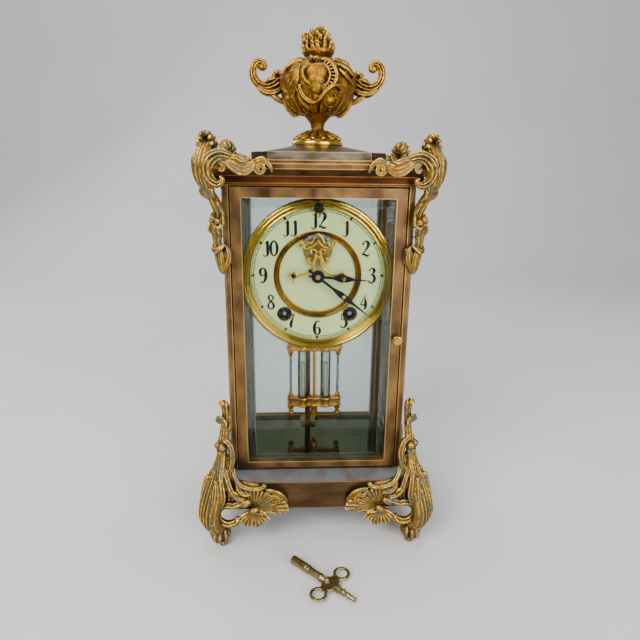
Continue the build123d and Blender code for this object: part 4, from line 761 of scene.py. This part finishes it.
# printing on the dial: upright numerals drawn as swelling pen strokes, and the minute track
dial = {"centreX": 0.0, "centreZ": 216.3, "front": -30.82, "numeralAt": 41.4, "tall": 11.6,
    "trackInner": 48.5, "trackOuter": 50.1, "ink": 0.09}
pen = {"1": [[(.36, .97, .04), (.38, .85, .08), (.38, .5, .09), (.38, .12, .085), (.33, .02, .05),
    (.22, -.04, .035), (.12, .0, .03), (.09, .08, .05)], [(.38, .97, .04), (.28, .86, .035),
    (.18, .80, .02)]], "2": [[(.10, .72, .07), (.12, .86, .04), (.30, .98, .05), (.47, .88, .09),
    (.48, .70, .10), (.36, .48, .06), (.18, .25, .035), (.05, .06, .03)],
    [(.05, .06, .03), (.2, .12, .05), (.36, .04, .07), (.5, .04, .05), (.58, .16, .025)]],
    "3": [[(.10, .80, .065), (.2, .96, .04), (.38, .95, .08), (.46, .80, .09), (.36, .62, .05),
    (.22, .56, .03)], [(.22, .56, .03), (.42, .50, .07), (.50, .28, .10), (.38, .05, .07), (.2, .0, .04),
    (.08, .15, .065)]], "4": [[(.42, .98, .03), (.24, .62, .035), (.04, .30, .03)],
    [(.04, .30, .03), (.3, .29, .045), (.6, .33, .03)], [(.42, .76, .03), (.43, .5, .085), (.43, .1, .085),
    (.38, .0, .05), (.26, -.04, .03)]], "5": [[(.14, .96, .04), (.30, .91, .05), (.44, .94, .05),
    (.54, 1.02, .02)], [(.14, .97, .03), (.12, .75, .03), (.12, .55, .03)],
    [(.12, .55, .03), (.30, .62, .05), (.48, .45, .09), (.48, .22, .10), (.32, .02, .06), (.14, .02, .04),
    (.08, .15, .065)]], "6": [[(.46, .88, .06), (.36, .97, .035), (.22, .90, .06), (.10, .66, .09),
    (.08, .36, .10), (.14, .10, .07), (.30, .0, .045), (.46, .12, .08), (.48, .34, .08), (.34, .52, .045),
    (.16, .42, .03)]], "7": [[(.06, .78, .03), (.12, .95, .05), (.28, .88, .06), (.44, .90, .04),
    (.56, .98, .03)], [(.56, .98, .03), (.42, .66, .05), (.32, .36, .09), (.30, .02, .09)]],
    "8": [[(.28, .98, .04), (.12, .84, .07), (.18, .64, .06), (.40, .42, .07), (.50, .2, .08),
    (.30, .0, .045), (.08, .18, .07), (.16, .42, .045), (.38, .62, .04), (.46, .82, .06), (.28, .98, .04)]],
    "0": [[(.28, .99, .04), (.10, .8, .07), (.05, .5, .09), (.1, .18, .07), (.28, .0, .04), (.46, .18, .07),
    (.51, .5, .09), (.46, .8, .07), (.28, .99, .04)]]}
pen["9"] = [[(.56 - x, .98 - z, w) for x, z, w in stroke] for stroke in pen["6"]]


def penStroke(shape, rows, scale, x0, z0, count=22):
    # flat stroke of changing width, a hair thick, just clear of the porcelain
    path = smoothPath([(x, z, w) for x, z, w in rows], count)
    tangent = unit(np.gradient(path[:, :2], axis=0))
    across = np.stack([-tangent[:, 1], tangent[:, 0]], axis=1) * path[:, 2:3]
    front, back = dial["front"] - dial["ink"], dial["front"]
    ring = []
    for edge, depth in ((-across, front), (across, front), (across, back), (-across, back)):
        flat = (path[:, :2] + edge) * scale
        ring.append(np.stack([x0 + flat[:, 0], np.full(count, depth), z0 + flat[:, 1]], axis=1))
    addGrid(shape, np.stack(ring, axis=1), closeRing=True, caps=True)


shape = bmesh.new()
for hour in range(1, 13):
    digits, tall = str(hour), dial["tall"]
    wide = (0.56 + 0.54 * (len(digits) - 1)) * tall * 0.92
    a = hour * math.pi / 6
    x0 = dial["centreX"] + dial["numeralAt"] * math.sin(a) - wide / 2
    z0 = dial["centreZ"] + dial["numeralAt"] * math.cos(a) - tall / 2
    for position, digit in enumerate(digits):
        for rows in pen[digit]:
            penStroke(shape, [(x * .92, z, w * 1.08) for x, z, w in rows], tall, x0 + position * 0.5 * tall,
                z0)
for reach in (dial["trackInner"], dial["trackOuter"]):
    penStroke(shape, [(reach * math.sin(a), reach * math.cos(a), 0.24) for a in np.linspace(0, 2 * math.pi,
        61)], 1, dial["centreX"], dial["centreZ"], 181)
for minute in range(60):
    a = minute * math.pi / 30
    first, last, wide = (dial["trackInner"], dial["trackOuter"],
        0.24) if minute % 5 else (dial["trackInner"] - .5, dial["trackOuter"] + .5, 1.0)
    penStroke(shape, [(r * math.sin(a), r * math.cos(a), w) for r,
        w in ((first, wide * .5), ((first + last) / 2, wide), (last, wide * .5))], 1, dial["centreX"],
        dial["centreZ"], 6)
placePiece("dial_printing", meshInMetres("dialPrinting", shape), "case", blackPaint, ())
print("dial printing")

# turned and pierced metal on the dial
def spinFacing(shape, profile, x, z, sides=160):
    # turned ring or cup whose axis points out of the dial, from (radius, depth)
    turn = np.linspace(0, 2 * math.pi, sides, endpoint=False)
    addGrid(shape, np.array([[[x + r * math.cos(a), y, z + r * math.sin(a)] for a in turn] for r,
        y in profile + profile[:1]]), closeRing=True)


def meshPiece(name, shape, body, material, replaced=()):
    # finishes a piece that needs no fusing
    bmesh.ops.remove_doubles(shape, verts=shape.verts[:], dist=0.002)
    mesh = meshInMetres(name, shape)
    piece = placePiece(name, mesh, body, material, replaced)
    mesh.set_sharp_from_angle(angle=math.radians(38))
    return piece


shape = bmesh.new()
profile = [(50.9, -31.0), (50.9, -32.4), (51.4, -32.9), (52.0, -32.7), (52.4, -33.0), (53.2, -34.3),
    (54.2, -34.9), (54.8, -34.7), (55.0, -34.3), (55.3, -34.5), (56.2, -35.0), (57.0, -34.8), (57.3, -34.3),
    (57.6, -34.2), (58.1, -33.6), (58.2, -32.6), (57.9, -30.9)]
spinFacing(shape, profile, 0, 216.3)
meshPiece("dial_bezel_turned", shape, "case", bezelGilt, ("dial_bezel",))

shape = bmesh.new()
profile = [(29.0, -27.4), (29.1, -29.0), (29.6, -29.8), (30.1, -29.5), (30.4, -30.2), (31.0, -31.3),
    (31.7, -31.7), (32.1, -31.4), (32.3, -30.9), (32.8, -31.2), (33.2, -31.0), (33.3, -30.7), (32.6, -29.0),
    (30.0, -27.4)]
spinFacing(shape, profile, 0, 216.3)
meshPiece("dial_inner_ring_turned", shape, "case", ringGilt, ("dial_inner_ring",))

for x in (-25.4, 25.4):
    shape = bmesh.new()
    spinFacing(shape, [(5.7, -30.8), (5.8, -31.4), (5.3, -31.9), (4.9, -31.5), (4.7, -31.0), (4.9, -30.8)],
        x, 186, 90)
    meshPiece("eyelet_rim_left" if x < 0 else "eyelet_rim_right", shape, "case", ringGilt, ())

# escapement bridge: two arms to their screw eyes, a pierced head and a lace cresting above
shape = bmesh.new()
bridge = -33.1
rows = [[(-1.6, 231.5, 1.5), (-3.0, 227.5, 1.7), (-3.4, 223.6, 1.4), (-5.0, 220.4, 1.2), (-9.0, 218.2, 1.1),
    (-13.0, 217.0, 0.9), (-15.4, 216.6, 1.0)], [(-4.6, 230.4, .5), (-6.8, 229.4, 1.1), (-6.4, 226.8, 1.1),
    (-4.0, 226.6, .9)], [(-4.4, 233.2, .5), (-5.6, 235.4, .9), (-3.6, 236.6, .9), (-1.4, 235.4, .8)],
    [(-12.4, 240.6, 1.4), (-9.0, 239.2, .9), (-7.4, 241.8, .9), (-4.6, 241.4, .9), (-3.4, 244.2, .8),
    (0, 248.6, .5)], [(-12.4, 240.6, .9), (-9.6, 237.0, .7), (-5.0, 238.4, .7), (-1.6, 240.6, .7),
    (0, 244.0, .6)], [(-13.4, 238.2, .8), (-12.4, 240.6, 1.3), (-13.6, 243.2, .6)],
    [(-18.5, 213.0, .5), (-18.5, 211.6, .9), (-18.5, 209.8, .3)]]
for row in rows:
    for side in (1, -1):
        addStrand(shape, [[side * x, bridge, z, w, .55] for x, z, w in row], (0, -1, 0), 1, 0.05, 40, 16)
for x, z, reach in ((-18.5, 216.4, 2.6), (18.5, 216.4, 2.6), (0, 233.0, 2.0)):
    addStrand(shape, [[x + reach * math.cos(a), bridge, z + reach * math.sin(a), .9,
        .6] for a in np.linspace(0, 2 * math.pi, 13)], (0, -1, 0), 1, 0.05, 60, 16)
placePiece("escapement_bridge_pierced", castSolid("escapementBridge", shape, 0.26, 1), "case", bezelGilt,
    ("escapement_bridge",))
for name, x in (("bridge_screw_left", -18.5), ("bridge_screw_right", 18.5)):
    shape = bmesh.new()
    addBead(shape, (x, -32.9, 216.4), (1.9, .9, 1.9))
    meshPiece(name, shape, "case", blueSteel, ())
print("dial metalwork")

# pendulum: wavy gilt plates, steel side rods and turned finials
bob = {"y": 18.0, "vialX": 10.2, "rodX": 21.3, "tray": (85.0, 94.2), "cap": (138.6, 143.8)}


def lobedLoop(grow):
    # plan outline of a plate that swells round its vials and rods
    along = np.linspace(-1, 1, 141)
    x = np.sin(along * math.pi / 2) * (bob["rodX"] + 3.6 + grow)
    depth = np.maximum.reduce([np.sqrt(np.maximum((r + grow) ** 2 - (x - c) ** 2, 0)) for c,
        r in ((0, 5.2), (-bob["vialX"], 6.4), (bob["vialX"], 6.4), (-bob["rodX"], 3.6),
        (bob["rodX"], 3.6))] + [np.where(np.abs(x) < bob["rodX"], 3.9 + grow, 0.0)])
    return np.stack([np.concatenate([x, x[-2:0:-1]]), bob["y"] + np.concatenate([-depth, depth[-2:0:-1]])],
        axis=1)


for name, (low, high), bands in (("pendulum_tray_plate", bob["tray"], 1),
        ("pendulum_cap_plate", bob["cap"], 0)):
    shape = bmesh.new()
    layers = [(low, -.9), (low + .3, -.2), (low + 1.1, .1)]
    if bands:
        layers += [(low + 1.6, -.4), (low + 2.2, -.5), (high - 2.2, -.5), (high - 1.6, -.4)]
    layers += [(high - 1.1, .1), (high - .3, -.2), (high, -.9)]
    addGrid(shape, np.array([[[x, y, z] for x, y in lobedLoop(grow)] for z, grow in layers]),
        closeRing=True, caps=True)
    meshPiece(name, shape, "pendulum", bobGilt, ("pendulum_frame",))
for side, word in ((-1, "left"), (1, "right")):
    at = (side * bob["rodX"], bob["y"])
    shape = bmesh.new()
    spin(shape, [(.3, 94.0), (1.15, 94.3), (1.15, 116), (1.15, 138.4), (.3, 138.6)], 40, at=at)
    meshPiece("pendulum_side_rod_" + word, shape, "pendulum", steelRod, ())
    for part, profile in (("finial", [(.2, 75.4), (1.0, 75.6), (1.7, 76.2), (2.0, 77.0), (2.9, 77.6),
            (3.0, 78.4), (2.6, 79.2), (1.7, 79.8), (1.5, 80.8), (1.9, 81.6), (2.7, 82.2), (2.7, 83.4),
            (2.0, 84.2), (2.4, 85.2), (.2, 85.3)]), ("ferrule_low", [(.2, 93.9), (2.5, 94.2), (2.6, 95.2),
            (2.1, 95.8), (2.3, 96.8), (1.5, 98.2), (.2, 98.4)]), ("ferrule_high",
            [(.2, 133.8), (1.5, 134.0), (2.2, 135.4), (2.1, 136.4), (2.6, 137.2), (2.5, 138.4),
            (.2, 138.7)]), ("nut", [(.2, 143.7), (2.4, 143.9), (2.5, 145.0), (1.8, 145.6), (1.9, 146.6),
            (1.0, 147.4), (.2, 147.5)])):
        shape = bmesh.new()
        spin(shape, profile, 48, at=at)
        meshPiece(f"pendulum_{part}_{word}", shape, "pendulum", bobGilt, ())
shape = bmesh.new()
spin(shape, [(.2, 74.6), (1.4, 74.8), (2.0, 75.8), (1.6, 76.8), (3.0, 77.5), (3.1, 78.9), (2.2, 79.7),
    (2.2, 80.9), (3.4, 81.7), (3.4, 83.3), (2.4, 84.3), (2.4, 85.2), (.2, 85.3)], 60, at=(0, bob["y"]))
meshPiece("pendulum_rating_nut", shape, "pendulum", bobGilt, ())
print("pendulum dressed")

# regulator eyelet: a blackened cup with a gilt lip, let into the top of the bezel
regulator = {"z": 267.6, "front": -36.3, "back": -34.2}
shape = bmesh.new()
spinFacing(shape, [(3.3, -35.4), (3.4, -36.0), (3.9, -36.4), (4.5, -36.1), (4.7, -35.4),
    (4.7, regulator["back"]), (3.3, regulator["back"])], 0, regulator["z"], 80)
meshPiece("regulator_eyelet_lip", shape, "case", bezelGilt, ())
shape = bmesh.new()
spinFacing(shape, [(1.1, -34.6), (1.2, -35.3), (1.9, -34.9), (3.0, -35.0), (3.4, -35.8),
    (3.45, regulator["back"]), (1.1, regulator["back"])], 0, regulator["z"], 80)
meshPiece("regulator_eyelet_cup", shape, "case", blackPaint, ())

# winding key: a ringed barrel, two flat bows on a waisted plate, and a stepped stem for the regulator square
key = {"at": (-19.3, -84.6, 3.4), "degrees": -43.6, "bowX": 37.5, "bowY": 13.3}
keyPlace = Matrix.Translation(key["at"]) @ Matrix.Rotation(math.radians(key["degrees"]), 4, "Z")


def spinAlong(shape, profile, sides=64):
    # turned bar lying along X, from (distance, radius)
    turn = np.linspace(0, 2 * math.pi, sides, endpoint=False)
    addGrid(shape, np.array([[[x, r * math.cos(a), r * math.sin(a)] for a in turn] for x, r in profile]),
        closeRing=True, caps=True)


shape = bmesh.new()
spinAlong(shape, [(9, .3), (9, 1.9), (.2, 2.0), (0, 2.3), (.1, 3.1), (.5, 3.4), (14.4, 3.4), (14.8, 3.0),
    (15.6, 3.0), (16.0, 3.4), (17.0, 3.4), (17.4, 2.9), (27.4, 2.7), (27.8, 3.2), (29.2, 3.2), (29.8, 2.5),
    (32.6, 2.3), (33.6, 1.4), (34.0, .3)])
spinAlong(shape, [(42, .3), (42.4, 2.3), (43.8, 2.3), (44.2, 2.9), (46.4, 2.9), (46.9, 2.0), (48.8, 2.0),
    (49.3, 2.5), (50.4, 2.5), (50.9, 1.9), (53.2, 1.9), (53.7, 2.3), (54.6, 2.3), (55.1, 1.8), (60.2, 1.6),
    (60.7, 1.2), (60.7, .3)])
bmesh.ops.transform(shape, matrix=keyPlace, verts=shape.verts[:])
meshPiece("winding_key_barrels", shape, "winding_key", keyBrass, ())
shape = bmesh.new()
for side in (-1, 1):
    bow = [[key["bowX"] + 5.3 * math.cos(a), side * key["bowY"] + 5.3 * math.sin(a), 0, 1.15,
        .95] for a in np.linspace(0, 2 * math.pi, 25)]
    addStrand(shape, bow, (0, 0, 1), 1, 0.02, 90, 16)
    addStrand(shape, [[key["bowX"] - 1, 0, 0, 6.2, .95], [key["bowX"], side * 3.5, 0, 5.8, .95],
        [key["bowX"], side * 6.4, 0, 3.6, .95], [key["bowX"], side * 8.4, 0, 4.2, .9]], (0, 0, 1), 1, 0.02,
        40, 24)
addBead(shape, (34.4, 0, 1.8), (2.1, 2.1, 1.5))
addStrand(shape, [[31.0, 0, 0, 1.4, .95], [35.0, 0, 0, 3.4, .95], [40.0, 0, 0, 3.4, .95],
    [43.6, 0, 0, 1.6, .95]], (0, 0, 1), 1, 0.02, 30, 20)
bmesh.ops.transform(shape, matrix=keyPlace, verts=shape.verts[:])
placePiece("winding_key_bows", castSolid("keyBows", shape, 0.3, 2), "winding_key", keyBrass,
    ("winding_key",))

# front pane: flat in the middle, with a ground bevel that falls towards the frame
paneLow, paneHigh = (Vector(corner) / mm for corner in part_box("front_door_glass"))
bevel = {"wide": 6.4, "fall": 1.1, "edge": 0.3}


def paneLoop(inset, y):
    left, right, low, high = paneLow.x + inset, paneHigh.x - inset, paneLow.z + inset, paneHigh.z - inset
    return [[left, y, low], [right, y, low], [right, y, high], [left, y, high]]


face = paneLow.y
shape = bmesh.new()
addGrid(shape, np.array([paneLoop(0, paneHigh.y), paneLoop(0, face + bevel["fall"]),
    paneLoop(bevel["wide"], face)]), closeRing=True, caps=True)
pane = meshPiece("front_pane_bevelled", shape, "front_door", clearPane, ("front_door_glass",))
for polygon in pane.data.polygons:
    polygon.use_smooth = False
shape = bmesh.new()
inner, ridge = bevel["wide"] - bevel["edge"], bevel["wide"] + bevel["edge"]
addGrid(shape, np.array([paneLoop(inner, face + .04), paneLoop(inner, face - .02),
    paneLoop(ridge, face - .02), paneLoop(ridge, face + .04), paneLoop(inner, face + .04)]), closeRing=True)
meshPiece("front_pane_bevel_edge", shape, "front_door", groundGlass, ())
shape = bmesh.new()
addGrid(shape, np.array([paneLoop(.5, face + .9), paneLoop(bevel["wide"] - .5, face - .0),
    paneLoop(bevel["wide"] - .5, face + .1), paneLoop(.5, face + 1.0), paneLoop(.5, face + .9)]),
    closeRing=True)
bevelStrip = meshPiece("front_pane_bevel_sheen", shape, "front_door", bevelGlass, ())
for polygon in bevelStrip.data.polygons:
    polygon.use_smooth = False
print("regulator, key and bevelled pane")

# camera in front of the dial, turned 2.9 degrees to the right and 16.3 down
view = {"at": (-0.0177, -0.4207, 0.2949), "yaw": 0.051, "pitch": 0.284, "roll": 0.012, "lens": 29.27}
forward = Vector((math.sin(view["yaw"]) * math.cos(view["pitch"]),
    math.cos(view["yaw"]) * math.cos(view["pitch"]), -math.sin(view["pitch"])))
right = Vector((math.cos(view["yaw"]), -math.sin(view["yaw"]), 0))
upward = right.cross(forward)
rolledRight = right * math.cos(view["roll"]) + upward * math.sin(view["roll"])
rolledUp = upward * math.cos(view["roll"]) - right * math.sin(view["roll"])
lens = bpy.data.cameras.new("viewCamera")
lens.lens, lens.sensor_width = view["lens"], 36
cameraObject = bpy.data.objects.new("viewCamera", lens)
bpy.context.scene.collection.objects.link(cameraObject)
turnMatrix = Matrix((rolledRight, rolledUp, -forward)).transposed().to_4x4()
cameraObject.matrix_world = Matrix.Translation(view["at"]) @ turnMatrix
bpy.context.scene.camera = cameraObject

# pale floor that sweeps up into a backdrop
sweepCurve = [(0.9 + 0.6 * math.sin(a * math.pi / 16), 0.6 - 0.6 * math.cos(a * math.pi / 16))
    for a in range(1, 9)]
sweepProfile = [(-1.6, 0.0), (0.9, 0.0)] + sweepCurve + [(1.5, 2.6)]
floorMesh = bpy.data.meshes.new("studioSweep")
rowsOf = [(side * 2.6, y, z) for y, z in sweepProfile for side in (-1, 1)]
strips = [(2 * i, 2 * i + 1, 2 * i + 3, 2 * i + 2) for i in range(len(sweepProfile) - 1)]
floorMesh.from_pydata(rowsOf, [], strips)
floorPiece = bpy.data.objects.new("studioSweep", floorMesh)
bpy.context.scene.collection.objects.link(floorPiece)
for polygon in floorMesh.polygons:
    polygon.use_smooth = True
paper, tree, place = newMaterial("paperSweepMatt")
clouds = addNode(tree, "TexNoise", {"Scale": 1 / (300 * mm), "Detail": 2, "Roughness": 0.55,
    "Vector": place}).outputs["Fac"]
pale = addNode(tree, "ValToRGB", {"Fac": clouds}, ((0.3, "#C4C5C5"), (0.7, "#C9CACA"))).outputs["Color"]
finishMaterial(tree, {"Roughness": 0.9, "Base Color": pale})
floorMesh.materials.append(paper)

lamps = {"key": ((-0.75, -1.05, 1.15), 0.9, 36, "#FFF6E8"), "fill": ((0.75, -1.25, 0.55), 0.9, 24,
    "#F6F6FF"), "top": ((0.1, 0.25, 1.6), 1.0, 14, "#FFFFFF"), "back": ((-0.8, 0.95, 0.9), 0.8, 8,
    "#F4F7FF")}
for name, (at, size, power, colour) in lamps.items():
    light = bpy.data.lights.new(name + "Softbox", "AREA")
    light.shape, light.size, light.energy, light.color = "SQUARE", size, power, linear(colour)[:3]
    lampObject = bpy.data.objects.new(name + "Softbox", light)
    lampObject.location = at
    lampObject.rotation_euler = (Vector((0, 0, 0.2)) - Vector(at)).to_track_quat("-Z", "Y").to_euler()
    bpy.context.scene.collection.objects.link(lampObject)
world = bpy.data.worlds.new("softRoom")
bpy.context.scene.world = world
world.use_nodes = True
world.node_tree.nodes["Background"].inputs["Color"].default_value = linear("#D5DADF")
world.node_tree.nodes["Background"].inputs["Strength"].default_value = 0.42
print("camera, floor and lights")
